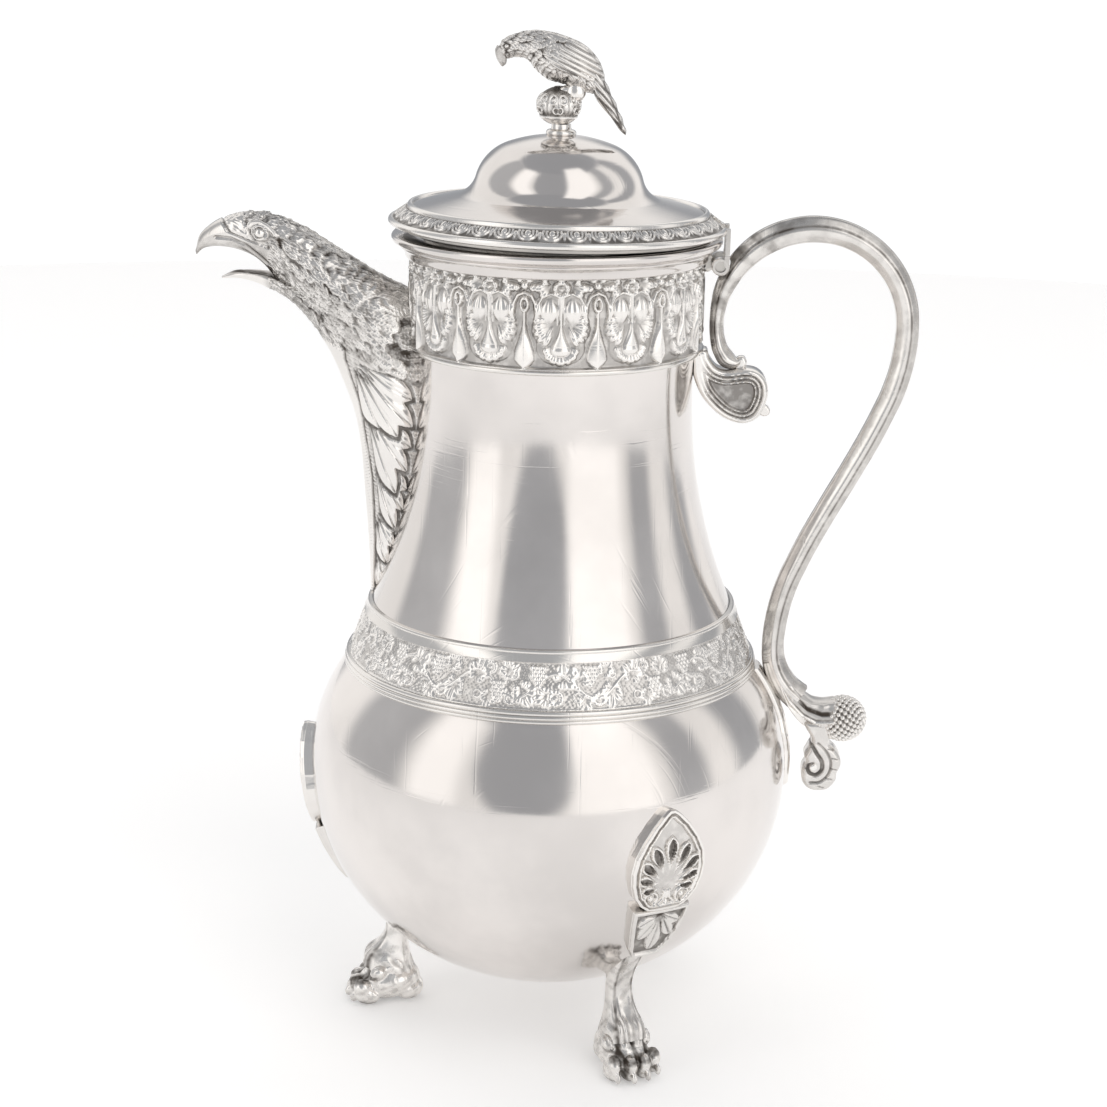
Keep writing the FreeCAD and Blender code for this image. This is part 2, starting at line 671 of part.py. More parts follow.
def turn_globe(body, kind="Revolution", across=0.0):
    """The globe, about its own upright axis `across` from the lid's; Groove cuts it away."""
    centre = S.globe_height
    side = S.globe_radius * 0.72
    slope = S.globe_rise * 0.7
    curve = S.globe_radius * 0.95
    sketch = draw(new_sketch(body, "XZ_Plane", (across, 0, 0, 0)), [
        (0, S.stem_top), (S.stem_radius, S.stem_top), (side, centre - slope, curve),
        (S.globe_radius, centre, curve), (side, centre + slope, curve),
        (S.globe_flat, centre + S.globe_rise), (0, centre + S.globe_rise)])
    globe = add(body, kind, sketch)
    globe.ReferenceAxis = (sketch, ["V_Axis"])
    globe.Angle = 360
    doc.recompute()


def place_on_lid(feature, shift):
    """Opens a lid piece with the lid, after moving it by shift on the closed lid."""
    open_lid(feature)
    feature.Placement = feature.Placement.multiply(FreeCAD.Placement(shift, FreeCAD.Rotation()))


def bird_section(body, number):
    """Upright eight-sided section of the bird at a station."""
    across, height, rise, half = (named(f"bird_{key}_at{number}") for key in BIRD_KEYS)
    sketch = new_sketch(body, "XY_Plane", (across.value, 0, height.value, -90.0))
    sketch.setExpression("AttachmentOffset.Base.x", across.text)
    sketch.setExpression("AttachmentOffset.Base.z", height.text)
    flank = 0.42
    return draw(sketch, [
        (rise, -half * flank), (rise, half * flank), (rise * flank, half), (-rise * flank, half),
        (-rise, half * flank), (-rise, -half * flank), (-rise * flank, -half), (rise * flank, -half)])


def bird():
    """Perched bird: body, bowed head, beak, legs on the globe and a long straight tail."""
    body = new_body("finial_bird")
    sections = [bird_section(body, number) for number in range(len(BIRD_STATIONS))]
    trunk = add(body, "AdditiveLoft", sections[0])
    trunk.Sections = sections[1:]
    trunk.Ruled = True
    doc.recompute()
    beak = [(-17.6, 263.6), (-17.4, 261.2), (-14.6, 258.6), (-13.4, 259.4), (-13.0, 262.0)]
    slab(body, "XZ_Plane", beak, 2.6)
    tail = [(5.0, 262.0), (2.6, 254.6), (14.6, 243.6), (17.2, 245.4), (10.4, 259.4)]
    slab(body, "XZ_Plane", tail, 6.0)
    slab(body, "XZ_Plane", [(-3.6, 256.0), (-3.6, 251.0), (2.8, 251.0), (4.0, 256.0)], 4.4)
    cut_checked(body, lambda: turn_globe(body, "Groove", SIZES["globe_across"]))
    open_lid(body)


# ---------------------------------------------------------------- the handle

def rod_points():
    """Joints of the handle rod's path, as (across, up, signed radius of the arc that leaves)."""
    loop = S.loop_curve
    right = (S.loop_across + loop, S.loop_height)
    turned = S.sweep_turn
    sweep_end = (right[0] - S.sweep_curve * (1 - cosine(turned)),
                 right[1] - S.sweep_curve * sine(turned))
    heel = (S.heel_across, S.heel_height)
    heel_start_x = heel[0] + S.sweep_curve * (1 - cosine(turned))
    heel_start = (heel_start_x, heel[1] + S.sweep_curve * sine(turned))
    hook_end = (heel[0] + S.hook_curve * (1 - cosine(S.hook_turn)),
                heel[1] - S.hook_curve * sine(S.hook_turn))
    top = (S.loop_across, S.loop_height + loop)
    return top, right, sweep_end, heel_start, heel, hook_end


def limb_section(body, degrees, radius):
    """Round section of the rod at an angle round its top loop, from +X."""
    angle = math.radians(degrees)
    curve = SIZES["loop_curve"]
    across = SIZES["loop_across"] + curve * math.cos(angle)
    up = SIZES["loop_height"] + curve * math.sin(angle)
    sketch = new_sketch(body, "XY_Plane", (across, 0, up, -degrees))
    return circle(sketch, 0, 0, radius)


def handle_rod():
    body = new_body("handle_rod")
    top, right, sweep_end, heel_start, heel, hook_end = rod_points()
    path = new_sketch(body, "XZ_Plane")
    draw(path, [(*top, -S.loop_curve), (*right, -S.sweep_curve), sweep_end,
                (*heel_start, S.sweep_curve), (*heel, S.hook_curve), hook_end], closed=False)
    section = limb_section(body, 90, S.rod_radius)
    doc.recompute()
    sweep = add(body, "AdditivePipe", section)
    sweep.Spine = (path, [f"Edge{number}" for number in range(1, 6)])
    doc.recompute()
    # the limb that comes down beside the neck tapers
    stages = ((90, S.rod_radius), (118, S.rod_radius * 0.97), (145, S.limb_radius * 1.25),
              (168, S.limb_radius), (192, S.limb_radius), (204, S.limb_radius * 1.2))
    sections = [limb_section(body, degrees, radius) for degrees, radius in stages]
    limb = add(body, "AdditiveLoft", sections[0])
    limb.Sections = sections[1:]
    limb.Ruled = False
    doc.recompute()
    # the limb is soldered round the centre knuckle of the hinge
    def seat_knuckle():
        sketch = new_sketch(body, "XZ_Plane")
        circle(sketch, S.hinge_across, S.hinge_height, S.knuckle_radius)
        seat = add(body, "Pocket", sketch)
        seat.Midplane = True
        seat.Length = 20

    cut_checked(body, seat_knuckle)
    # the heel sits on the escutcheon, clear of the vine band
    cut_checked(body, lambda: turn(body, belly_inside(S.escutcheon_proud, S.escutcheon_top), "Groove"))


def handle_upper_scroll():
    """Volute that joins the handle to the neck, with its small cross pin."""
    outline = [(35.4, 190.0), (35.4, 179.6), (39.6, 175.0, 13.0), (49.0, 169.2, 7.6),
               (56.2, 177.0, 7.4), (48.6, 183.8), (45.6, 184.0), (41.0, 190.0)]
    body = new_body("handle_upper_scroll")
    slab(body, "XZ_Plane", outline, S.scroll_width)
    cut_checked(body, lambda: turn(body, neck_inside(), "Groove"))
    cut_checked(body, lambda: turn_limb_seat(body))
    pin = new_body("handle_scroll_pin")
    slab(pin, "XZ_Plane", [(53.0, 172.6), (56.2, 170.0), (57.6, 171.8), (54.4, 174.4)],
         S.scroll_pin * 2)
    cut_checked(pin, lambda: slab(pin, "XZ_Plane", outline, S.scroll_width, "Pocket"))


def turn_limb_seat(body):
    """Cuts the seat for the end of the rod's limb out of the scroll."""
    sketches = [limb_section(body, degrees, S.limb_radius * 1.3) for degrees in (186, 204)]
    seat = add(body, "SubtractiveLoft", sketches[0])
    seat.Sections = sketches[1:]
    seat.Ruled = False


def berry_ball(body, kind):
    """Ball of the berry, turned about its own upright axis; Groove cuts it away instead."""
    sketch = new_sketch(body, "XZ_Plane", (SIZES["berry_across"], SIZES["berry_height"], 0, 0))
    sketch.setExpression("AttachmentOffset.Base.x", "Sizes.berry_across")
    sketch.setExpression("AttachmentOffset.Base.y", "Sizes.berry_height")
    radius = S.berry_radius
    flat = S.berry_flat
    pole = root(radius * radius - flat * flat)
    draw(sketch, [(0, -pole), (flat, -pole, radius), (radius, 0, radius), (flat, pole), (0, pole)])
    ball = add(body, kind, sketch)
    ball.ReferenceAxis = (sketch, ["V_Axis"])
    ball.Angle = 360
    doc.recompute()


def handle_lower_end():
    berry_ball(new_body("handle_berry"), "Revolution")

    body = new_body("handle_calyx")
    slab(body, "XZ_Plane", [
        (66.0, 94.6), (67.4, 86.0), (73.0, 81.8, 9.0), (80.4, 81.6), (81.4, 88.0), (76.4, 92.6, 9.0),
        (70.0, 92.4)], 10.0)
    cut_checked(body, lambda: cut_rod_end(body))
    cut_checked(body, lambda: berry_ball(body, "Groove"))

    body = new_body("handle_lower_curl")
    slab(body, "XZ_Plane", [
        (69.4, 88.0), (68.6, 76.0), (69.6, 70.2, 5.4), (74.2, 67.0, 5.4), (79.6, 74.0, 5.6),
        (75.4, 80.4), (76.0, 86.0)], S.curl_width)
    cut_checked(body, lambda: slab(body, "XZ_Plane", [
        (66.0, 94.6), (67.4, 86.0), (73.0, 81.8, 9.0), (80.4, 81.6), (81.4, 88.0), (76.4, 92.6, 9.0),
        (70.0, 92.4)], 10.0, "Pocket"))

    body = new_body("handle_escutcheon")
    half = S.escutcheon_half
    slab(body, "YZ_Plane", [
        (-half, S.escutcheon_top), (-half * 0.7, S.escutcheon_foot + 9), (0, S.escutcheon_foot),
        (half * 0.7, S.escutcheon_foot + 9), (half, S.escutcheon_top)],
        S.belly_radius + 9, "Pad", False, False)
    cut_checked(body, lambda: turn(body, belly_inside(), "Groove"))
    cut_checked(body, lambda: turn(body, outside_belly(
        S.escutcheon_proud, S.escutcheon_foot - 4, S.escutcheon_top + 3), "Groove"))


def cut_rod_end(body):
    """Takes the rod's hook out of a piece that wraps its end."""
    points = rod_points()
    path = new_sketch(body, "XZ_Plane")
    draw(path, [(*points[4], S.hook_curve), points[5]], closed=False)
    section = new_sketch(body, "XY_Plane", (points[4][0].value, 0, points[4][1].value, 0))
    circle(section, 0, 0, S.rod_radius)
    doc.recompute()
    sweep = add(body, "SubtractivePipe", section)
    sweep.Spine = (path, ["Edge1"])


# ---------------------------------------------------------------- the feet

def foot(name, number):
    """Cast leg with its leaf panel and paw, and the palmette plate above; +X is outward."""
    bearing = SIZES["foot_first"] - 90 + SIZES["foot_step"] * number
    placement = FreeCAD.Placement(FreeCAD.Vector(0, 0, 0),
                                  FreeCAD.Rotation(FreeCAD.Vector(0, 0, 1), bearing))
    body = new_body(f"foot_leg_{name}")
    slab(body, "XZ_Plane", [
        (38.4, 2.0), (39.6, 13.0, -40.0), (39.8, 24.0, -12.0), (36.6, 32.0), (52.0, 42.0),
        (53.4, 39.0, 26.0), (46.0, 25.0, 12.0), (47.6, 16.0), (50.4, 12.0), (50.4, 2.0)],
        S.leg_width)
    slab(body, "XY_Plane", [
        (36.0, -4.4), (44.0, -6.4), (52.0, -S.paw_width / 2, 9.0), (56.6, 0, 9.0),
        (52.0, S.paw_width / 2), (44.0, 6.4), (36.0, 4.4, 8.0)], 9.6, "Pad", False)
    width = S.leg_width / 2 + 4.2
    slab(body, "YZ_Plane", [
        (-S.leg_width / 2 - 0.6, S.panel_foot), (S.leg_width / 2 + 0.6, S.panel_foot, 40.0),
        (width, S.plate_foot + 2), (-width, S.plate_foot + 2, 40.0)], S.belly_radius + 9, "Pad", False)
    cut_checked(body, lambda: turn(body, belly_inside(), "Groove"))
    cut_checked(body, lambda: turn(body, outside_belly(
        S.panel_proud, S.panel_foot - 0.4, S.plate_top), "Groove"))
    cut_checked(body, lambda: turn(body, palmette_space(), "Groove"))
    body.Placement = placement

    body = new_body(f"foot_palmette_{name}")
    half = S.plate_half
    slab(body, "YZ_Plane", [
        (0, S.plate_foot, 12.5), (half * 0.86, S.plate_foot + 5.4, 9.0), (half, S.plate_wide, 17.0),
        (0, S.plate_top, 17.0), (-half, S.plate_wide, 9.0), (-half * 0.86, S.plate_foot + 5.4, 12.5)],
        S.belly_radius + 9, "Pad", False)
    cut_checked(body, lambda: turn(body, belly_inside(), "Groove"))
    cut_checked(body, lambda: turn(body, outside_belly(
        S.plate_proud, S.plate_foot - 6, S.plate_top + 6), "Groove"))
    body.Placement = placement


def palmette_space():
    """Outline of the ring above the palmette's foot that a leg keeps clear of."""
    far = S.belly_radius + 20
    return [(40, S.plate_foot), (far, S.plate_foot), (far, S.plate_foot + 12), (40, S.plate_foot + 12)]


# ---------------------------------------------------------------- build, check and write

belly_shell()
neck_shell()
neck_bands()
vine_bands()
spout_half("spout_left_half", 1)
spout_half("spout_right_half", -1)
lid_dome()
lid_border()
lid_bezel()
hinge()
finial()
bird()
handle_rod()
handle_upper_scroll()
handle_lower_end()
for foot_number, foot_name in enumerate(("front", "back", "spout")):
    foot(foot_name, foot_number)
doc.recompute()

for item in doc.Objects:
    if "Invalid" in item.State or "Error" in item.State:
        raise RuntimeError(f"{item.Label} did not build: {item.State}")

nodes = [item for item in doc.Objects if item.TypeId == "PartDesign::Body"]
for node in nodes:
    if node.Shape.isNull() or not node.Shape.isValid():
        raise RuntimeError(f"{node.Label} has no valid shape")

os.makedirs("parts", exist_ok=True)
for node in nodes:
    node.Shape.exportStep(f"parts/{node.Label}.step")
    box = node.Shape.BoundBox
    print(f"{node.Label:28s} {node.Shape.Volume:9.1f} mm3  solids {len(node.Shape.Solids)}  "
          f"x {box.XMin:7.2f} {box.XMax:7.2f}  y {box.YMin:7.2f} {box.YMax:7.2f}  "
          f"z {box.ZMin:7.2f} {box.ZMax:7.2f}")
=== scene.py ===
"""Blender model of the footed silver coffee pot: looks, camera, floor and light.

Shapes are worked out in millimetres in the CAD frame and turned into metres by `piece`.
Lid pieces are drawn closed and opened about the hinge by the angle at which the lid rests.
"""
import math
import bmesh
import bpy
import numpy as np
from mathutils import Matrix, Vector


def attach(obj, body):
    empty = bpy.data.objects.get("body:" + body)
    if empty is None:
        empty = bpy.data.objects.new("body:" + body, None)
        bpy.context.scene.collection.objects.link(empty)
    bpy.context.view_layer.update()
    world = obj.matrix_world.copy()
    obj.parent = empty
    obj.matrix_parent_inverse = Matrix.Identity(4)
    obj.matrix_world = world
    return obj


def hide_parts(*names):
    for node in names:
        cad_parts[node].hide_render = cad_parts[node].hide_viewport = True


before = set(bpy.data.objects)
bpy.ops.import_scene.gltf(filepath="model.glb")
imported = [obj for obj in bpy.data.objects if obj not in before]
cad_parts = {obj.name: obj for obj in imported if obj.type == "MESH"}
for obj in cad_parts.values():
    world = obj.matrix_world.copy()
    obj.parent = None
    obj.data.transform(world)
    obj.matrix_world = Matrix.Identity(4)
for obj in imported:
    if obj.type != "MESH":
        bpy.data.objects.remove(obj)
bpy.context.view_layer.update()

MM = 0.001
# hinge axis as (x, z), and how far the lid stands open at rest
HINGE = (42.3, 210.8)
AJAR = math.radians(0.9)


# ---------------------------------------------------------------- mesh helpers

def on_lid(points):
    """Opens points of the closed lid about the hinge."""
    opened = np.array(points, float)
    across, up = points[:, 0] - HINGE[0], points[:, 2] - HINGE[1]
    opened[:, 0] = HINGE[0] + across * math.cos(AJAR) + up * math.sin(AJAR)
    opened[:, 2] = HINGE[1] - across * math.sin(AJAR) + up * math.cos(AJAR)
    return opened


def make_mesh(name, points, faces, tarnish_and_shade=0.0):
    """Mesh with a value, 0 to 1, at each vertex, of tarnish and painted shade."""
    mesh = bpy.data.meshes.new(name)
    mesh.from_pydata(points.tolist(), [], [tuple(map(int, face)) for face in faces])
    layer = mesh.attributes.new("tarnish_and_shade", "FLOAT", "POINT")
    depth = np.broadcast_to(np.clip(tarnish_and_shade, 0, 1), (len(points),))
    layer.data.foreach_set("value", np.ascontiguousarray(depth, dtype=np.float32))
    return mesh


def add_object(name, data):
    """Puts a new object into the scene."""
    made = bpy.data.objects.new(name, data)
    bpy.context.scene.collection.objects.link(made)
    return made


def piece(name, points, faces, body, material, nodes, tarnish_and_shade=0.0, sharp=40.0, slot="cast_silver"):
    """Makes one mesh piece from points in millimetres, and rides it on a body."""
    points = np.asarray(points, float)
    if body == "lid":
        points = on_lid(points)
    mesh = make_mesh(name, points * MM, faces, tarnish_and_shade)
    tidy_mesh(mesh)
    mesh.polygons.foreach_set("use_smooth", [True] * len(mesh.polygons))
    mesh.set_sharp_from_angle(angle=math.radians(sharp))
    made = add_object(name, mesh)
    mesh.materials.append(material)
    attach(made, body)
    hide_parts(*nodes)
    return made


def tidy_mesh(mesh):
    """Welds doubled points, drops faces with no area, and turns all faces outward."""
    work = bmesh.new()
    work.from_mesh(mesh)
    bmesh.ops.remove_doubles(work, verts=work.verts, dist=1e-7)
    bmesh.ops.dissolve_degenerate(work, edges=work.edges, dist=1e-8)
    bmesh.ops.recalc_face_normals(work, faces=work.faces)
    work.to_mesh(mesh)
    work.free()


def grid_faces(rows, columns, wrap_rows=False, wrap_columns=False):
    """Quads over a grid of points numbered row by row."""
    row = np.arange(rows if wrap_rows else rows - 1)
    column = np.arange(columns if wrap_columns else columns - 1)
    row, column = np.meshgrid(row, column, indexing="ij")
    after, beside = (row + 1) % rows, (column + 1) % columns
    quads = np.stack([row * columns + column, row * columns + beside,
                      after * columns + beside, after * columns + column], axis=-1)
    return quads.reshape(-1, 4)


def arc(start, end, radius, steps=12):
    """Points of the minor arc from start to end; positive radius turns counter-clockwise."""
    start, end = np.array(start, float), np.array(end, float)
    chord = end - start
    length = np.hypot(*chord)
    lift = math.sqrt(max(radius * radius - length * length / 4, 0.0))
    left = np.array([-chord[1], chord[0]]) / length
    centre = (start + end) / 2 + left * math.copysign(lift, radius)
    first = math.atan2(start[1] - centre[1], start[0] - centre[0])
    turn = 2 * math.asin(min(length / 2 / abs(radius), 1.0)) * math.copysign(1, radius)
    angles = first + turn * np.linspace(0, 1, steps + 1)
    return [(centre[0] + abs(radius) * math.cos(a), centre[1] + abs(radius) * math.sin(a))
            for a in angles]


def lathe(name, profile, body, material, nodes, count=256, carve=None, **more):
    """Turns a closed profile of (radius, height) about +Z; carve moves points and gives their tarnish."""
    profile = np.array(profile, float)
    angle = np.linspace(0, 2 * math.pi, count, endpoint=False)
    radius = np.repeat(profile[None, :, 0], count, axis=0)
    height = np.repeat(profile[None, :, 1], count, axis=0)
    tarnish_and_shade = np.zeros_like(radius)
    if carve is not None:
        radius, height, tarnish_and_shade = carve(angle[:, None], radius, height)
    points = np.stack([radius * np.cos(angle)[:, None], radius * np.sin(angle)[:, None], height], axis=-1)
    faces = grid_faces(count, len(profile), True, True)
    return piece(name, points.reshape(-1, 3), faces, body, material, nodes,
                 tarnish_and_shade=tarnish_and_shade.reshape(-1), **more)


# ---------------------------------------------------------------- ornament shapes, as height fields

def smooth(low, high, value):
    """Smooth step from 0 at low to 1 at high; low may be the larger of the two."""
    t = np.clip((value - low) / (high - low), 0, 1)
    return t * t * (3 - 2 * t)


def petal(u, v, at, degrees, length, width, widest=1.0, groove=0.0):
    """Domed petal, 0 to 1 high, that grows from `at`; degrees is its direction from +u.

    `widest` below 1 puts the widest place nearer the root, above 1 nearer the tip.
    """
    turn = math.radians(degrees)
    du, dv = u - at[0], v - at[1]
    along = np.clip((du * math.cos(turn) + dv * math.sin(turn)) / length, 0, 1)
    across = (dv * math.cos(turn) - du * math.sin(turn)) / width
    half = np.sin(math.pi * along ** widest)
    inside = np.clip(half ** 2 - across ** 2, 0, 1)
    dome = np.sqrt(inside)
    if groove:
        dome = dome * (1 - groove * np.exp(-(across / 0.16) ** 2))
    return dome


def look_up(value, rows):
    """Value of a line through rows of (place, value)."""
    return np.interp(value, *zip(*rows))


def dot(u, v, at, radius, squash=1.0):
    """Half ball, 0 to 1 high."""
    far = ((u - at[0]) / radius) ** 2 + ((v - at[1]) / (radius * squash)) ** 2
    return np.sqrt(np.clip(1 - far, 0, 1))


def ring(u, v, at, radius, width, squash=1.0):
    """Raised ring, 0 to 1 high."""
    far = np.sqrt((u - at[0]) ** 2 + ((v - at[1]) / squash) ** 2)
    return np.clip(1 - ((far - radius) / width) ** 2, 0, 1)


def line(u, v, start, end, width):
    """Raised line, 0 to 1 high."""
    du, dv = end[0] - start[0], end[1] - start[1]
    share = np.clip(((u - start[0]) * du + (v - start[1]) * dv) / (du * du + dv * dv), 0, 1)
    far = np.hypot(u - start[0] - share * du, v - start[1] - share * dv)
    return np.clip(1 - (far / width) ** 2, 0, 1)


def curve_line(u, v, points, width):
    """Raised line through points, 0 to 1 high."""
    height = np.zeros_like(u)
    for start, end in zip(points[:-1], points[1:]):
        height = np.maximum(height, line(u, v, start, end, width))
    return height


def highest(*fields):
    """Highest of several height fields at each point."""
    result = fields[0]
    for field in fields[1:]:
        result = np.maximum(result, field)
    return result


def flower(u, v, at, radius, petals, turn=90.0):
    """Flat flower with round petals and a centre knob."""
    height = dot(u, v, at, radius * 0.26)
    for number in range(petals):
        degrees = turn + 360 * number / petals
        height = highest(height, petal(u, v, at, degrees, radius * 1.04, radius * 0.5, 1.5, 0.35) * 0.85)
    return height


def sunk_edges(relief, v, soft, top):
    """Lets the relief rise to full height along both edges, v = 0 and v = top, of a band."""
    edge = smooth(0.0, soft, v) * smooth(top, top - soft, v)
    return 1 - (1 - relief) * edge


def around(angle, start, radius, pitch, like):
    """Distance along a band that repeats every pitch, measured from the middle of each repeat."""
    along = (angle + math.radians(start)) * radius
    return np.broadcast_to((along + pitch / 2) % pitch - pitch / 2, like.shape)


def noise(points, scale, seed, octaves=2):
    """Smooth noise, -1 to 1, from sums of sine waves in seeded directions."""
    source = np.random.default_rng(seed)
    total = np.zeros(points.shape[:-1])
    for octave in range(octaves):
        for _ in range(5):
            way = source.normal(size=points.shape[-1])
            way *= 2 * math.pi / (scale / 2 ** octave) / np.linalg.norm(way)
            total += np.sin(points @ way + source.uniform(0, 6.28)) / 2 ** octave
    return total / 5


# ---------------------------------------------------------------- materials

def math_node(tree, operation, *values):
    """Math node on numbers and sockets; gives its output."""
    made = tree.nodes.new("ShaderNodeMath")
    made.operation = operation
    for socket, value in zip(made.inputs, values):
        if isinstance(value, (int, float)):
            socket.default_value = value
        else:
            tree.links.new(value, socket)
    return made.outputs["Value"]


def ramp_node(tree, source, low, high, start=0.0, end=1.0):
    """Smooth step of source, from start at low to end at high."""
    made = tree.nodes.new("ShaderNodeMapRange")
    made.interpolation_type = "SMOOTHSTEP"
    for key, value in (("From Min", low), ("From Max", high), ("To Min", start), ("To Max", end)):
        made.inputs[key].default_value = value
    tree.links.new(source, made.inputs["Value"])
    return made.outputs["Result"]


def mix_node(tree, share, low, high):
    """Colour between low and high, each a tone or a socket."""
    made = tree.nodes.new("ShaderNodeMix")
    made.data_type = "RGBA"
    tree.links.new(share, made.inputs["Factor"])
    for socket, value in ((made.inputs[6], low), (made.inputs[7], high)):
        if isinstance(value, tuple):
            socket.default_value = (*value, 1)
        else:
            tree.links.new(value, socket)
    return made.outputs[2]


# dark tone of the tarnish, also used for painted shade
TARNISH_AND_SHADE_TONE = (0.075, 0.062, 0.052)
# turn of each layer of scratches, and how it is squashed into lines
SCRATCHES = (
    ((0.5, 0.3, 0.4), (4, 160, 5)),
    ((1.2, 0.2, 1.1), (5, 6, 190)),
    ((0.2, 0.9, 2.0), (170, 5, 4)),
)


def silver(name, tone, roughness, scuffs, mottle, bump):
    """Old silver: scratched polish, cloudy tone, and dark tarnish, with some painted shade, where the mesh
    says so.
    """
    material = bpy.data.materials.new(name)
    material.use_nodes = True
    tree = material.node_tree
    nodes, links = tree.nodes, tree.links
    shader = nodes["Principled BSDF"]
    shader.inputs["Metallic"].default_value = 1.0
    where = nodes.new("ShaderNodeTexCoord")

    def grain(scale, detail, spin=(0, 0, 0), squash=(1, 1, 1)):
        spread = nodes.new("ShaderNodeMapping")
        spread.inputs["Rotation"].default_value = spin
        spread.inputs["Scale"].default_value = squash
        links.new(where.outputs["Object"], spread.inputs["Vector"])
        made = nodes.new("ShaderNodeTexNoise")
        made.inputs["Scale"].default_value = scale
        made.inputs["Detail"].default_value = detail
        links.new(spread.outputs["Vector"], made.inputs["Vector"])
        return made.outputs["Fac"]

    cloudy_tone = tuple(value * (1 - mottle) for value in tone)
    colour = mix_node(tree, ramp_node(tree, grain(22.0, 6.0), 0.35, 0.65), tone, cloudy_tone)
    # the mesh's darkening: tarnish in its hollows, and painted shade at the tops of the legs
    hollow = nodes.new("ShaderNodeAttribute")
    hollow.attribute_name = "tarnish_and_shade"
    speckle = ramp_node(tree, grain(420.0, 5.0), 0.3, 0.55, 0.55, 1.0)
    stain = math_node(tree, "MULTIPLY", hollow.outputs["Fac"], speckle)
    links.new(mix_node(tree, stain, colour, TARNISH_AND_SHADE_TONE), shader.inputs["Base Color"])

    rubbed = grain(60.0, 5.0)
    gloss = ramp_node(tree, rubbed, 0.35, 0.68, roughness, roughness + scuffs)
    dull = math_node(tree, "MULTIPLY_ADD", hollow.outputs["Fac"], 0.35, gloss)
    links.new(dull, shader.inputs["Roughness"])
    lines = [ramp_node(tree, grain(7.0, 2.0, *layer), 0.62, 0.70) for layer in SCRATCHES]
    scratched = math_node(tree, "MAXIMUM", math_node(tree, "MAXIMUM", lines[0], lines[1]), lines[2])
    dent = nodes.new("ShaderNodeBump")
    dent.inputs["Strength"].default_value = bump
    dent.inputs["Distance"].default_value = 0.0004
    links.new(math_node(tree, "MULTIPLY_ADD", scratched, -1.2, rubbed), dent.inputs["Height"])
    links.new(dent.outputs["Normal"], shader.inputs["Normal"])
    return material


POLISHED = silver("polished_silver", (0.805, 0.77, 0.745), 0.09, 0.05, 0.15, 0.035)
CAST = silver("cast_silver", (0.90, 0.875, 0.845), 0.13, 0.09, 0.12, 0.06)
BRIGHT = silver("worn_silver", (0.82, 0.795, 0.765), 0.12, 0.06, 0.12, 0.05)
FITTING = silver("fitting_silver", (0.66, 0.635, 0.60), 0.30, 0.15, 0.16, 0.12)


def shade_node(node, material):
    """Gives a CAD node that stays its material."""
    target = bpy.data.objects[node]
    target.data.materials.clear()
    target.data.materials.append(material)


# ---------------------------------------------------------------- turned body, rim and lid

# heights of the belly's shoulder, the foot of the neck, and the seam behind the vine band
SHOULDER, COLLAR, SEAM = 104.5, 120.0, 111.0
# heights of the belly's underside and the top of the neck wall
BASE, NECK_TOP = 17.0, 216.6
WALL = 0.9
TURNS = 320
CONE = 53.5, 48.0


def cone_radius(height):
    """Radius of the cone behind the vine band, from the shoulder to the collar."""
    return CONE[0] + (height - SHOULDER) * (CONE[1] - CONE[0]) / (COLLAR - SHOULDER)


def belly_radius(height):
    """Outer radius of the belly: two arcs that meet at its widest place, then the cone."""
    low = 4.8 + np.sqrt(np.clip(60.0 ** 2 - (74.5 - height) ** 2, 0, None))
    high = 19.3 + np.sqrt(np.clip(45.5 ** 2 - (height - 74.5) ** 2, 0, None))
    return np.where(height < 74.5, low, np.where(height < SHOULDER, high, cone_radius(height)))


def neck_radius(height):
    """Outer radius of the neck, which curves in and then stands straight."""
    curved = 180.2 - np.sqrt(np.clip(144.0 ** 2 - (177.0 - height) ** 2, 0, None))
    return np.where(height < 187.3, curved, 36.57)


def shell_profile(radius_at, low, high, step):
    """Wall between its outer face and the same curve moved in by the wall."""
    heights = np.linspace(low, high, max(2, round((high - low) / step)))
    outer = [(float(radius_at(h)), float(h)) for h in heights]
    inner = [(float(radius_at(h)) - WALL, float(h)) for h in heights[::-1]]
    return outer, inner


def body_shells():
    """Belly with its closed bottom, and neck; the neck's wall is open at both ends."""
    outer, inner = shell_profile(belly_radius, BASE, SEAM, 0.9)
    inner = [point for point in inner if point[1] > BASE + WALL * 1.2]
    bottom = [(inner[-1][0] - 1.5, BASE + WALL), (0.0, BASE + WALL)]
    profile = [(0.0, BASE), (10.0, BASE)] + outer + inner + bottom
    lathe("belly_shell_skin", profile, "pot", POLISHED, ["belly_shell"], TURNS, sharp=50,
          slot="polished_silver")

    def neck_wall(height):
        return np.where(height < COLLAR, cone_radius(height), neck_radius(height))

    outer, inner = shell_profile(neck_wall, SEAM, NECK_TOP, 0.9)
    skin = lathe("neck_shell_skin", outer + inner, "pot", POLISHED, ["neck_shell"], TURNS, sharp=50,
                 slot="polished_silver")
    strain(skin)


def strain(skin):
    """Drills the strainer holes, in staggered rows, through the neck wall behind the spout."""
    hole_radius, drill_length, aside = 1.5, 6, 4.4
    work = bmesh.new()
    for row, height in enumerate(range(146, 179, 4)):
        reach = float(neck_radius(np.array(height)))
        for side in (0.0,) if row % 2 == 0 else (-aside, aside):
            turn = math.atan2(side, -reach)
            place = lying_matrix((reach * math.cos(turn), reach * math.sin(turn), height), turn)
            bmesh.ops.create_cone(work, cap_ends=True, segments=20, radius1=hole_radius * MM,
                                  radius2=hole_radius * MM, depth=drill_length * MM, matrix=place)
    cut_away(skin, work)


def cut_away(made, work):
    """Takes the closed shapes of a bmesh out of a piece."""
    mesh = bpy.data.meshes.new("cutter")
    work.to_mesh(mesh)
    work.free()
    cutter = add_object("cutter", mesh)
    cut = made.modifiers.new("cut", "BOOLEAN")
    cut.operation = "DIFFERENCE"
    cut.solver = "EXACT"
    cut.object = cutter
    apply_modifiers(made)
    bpy.data.objects.remove(cutter)


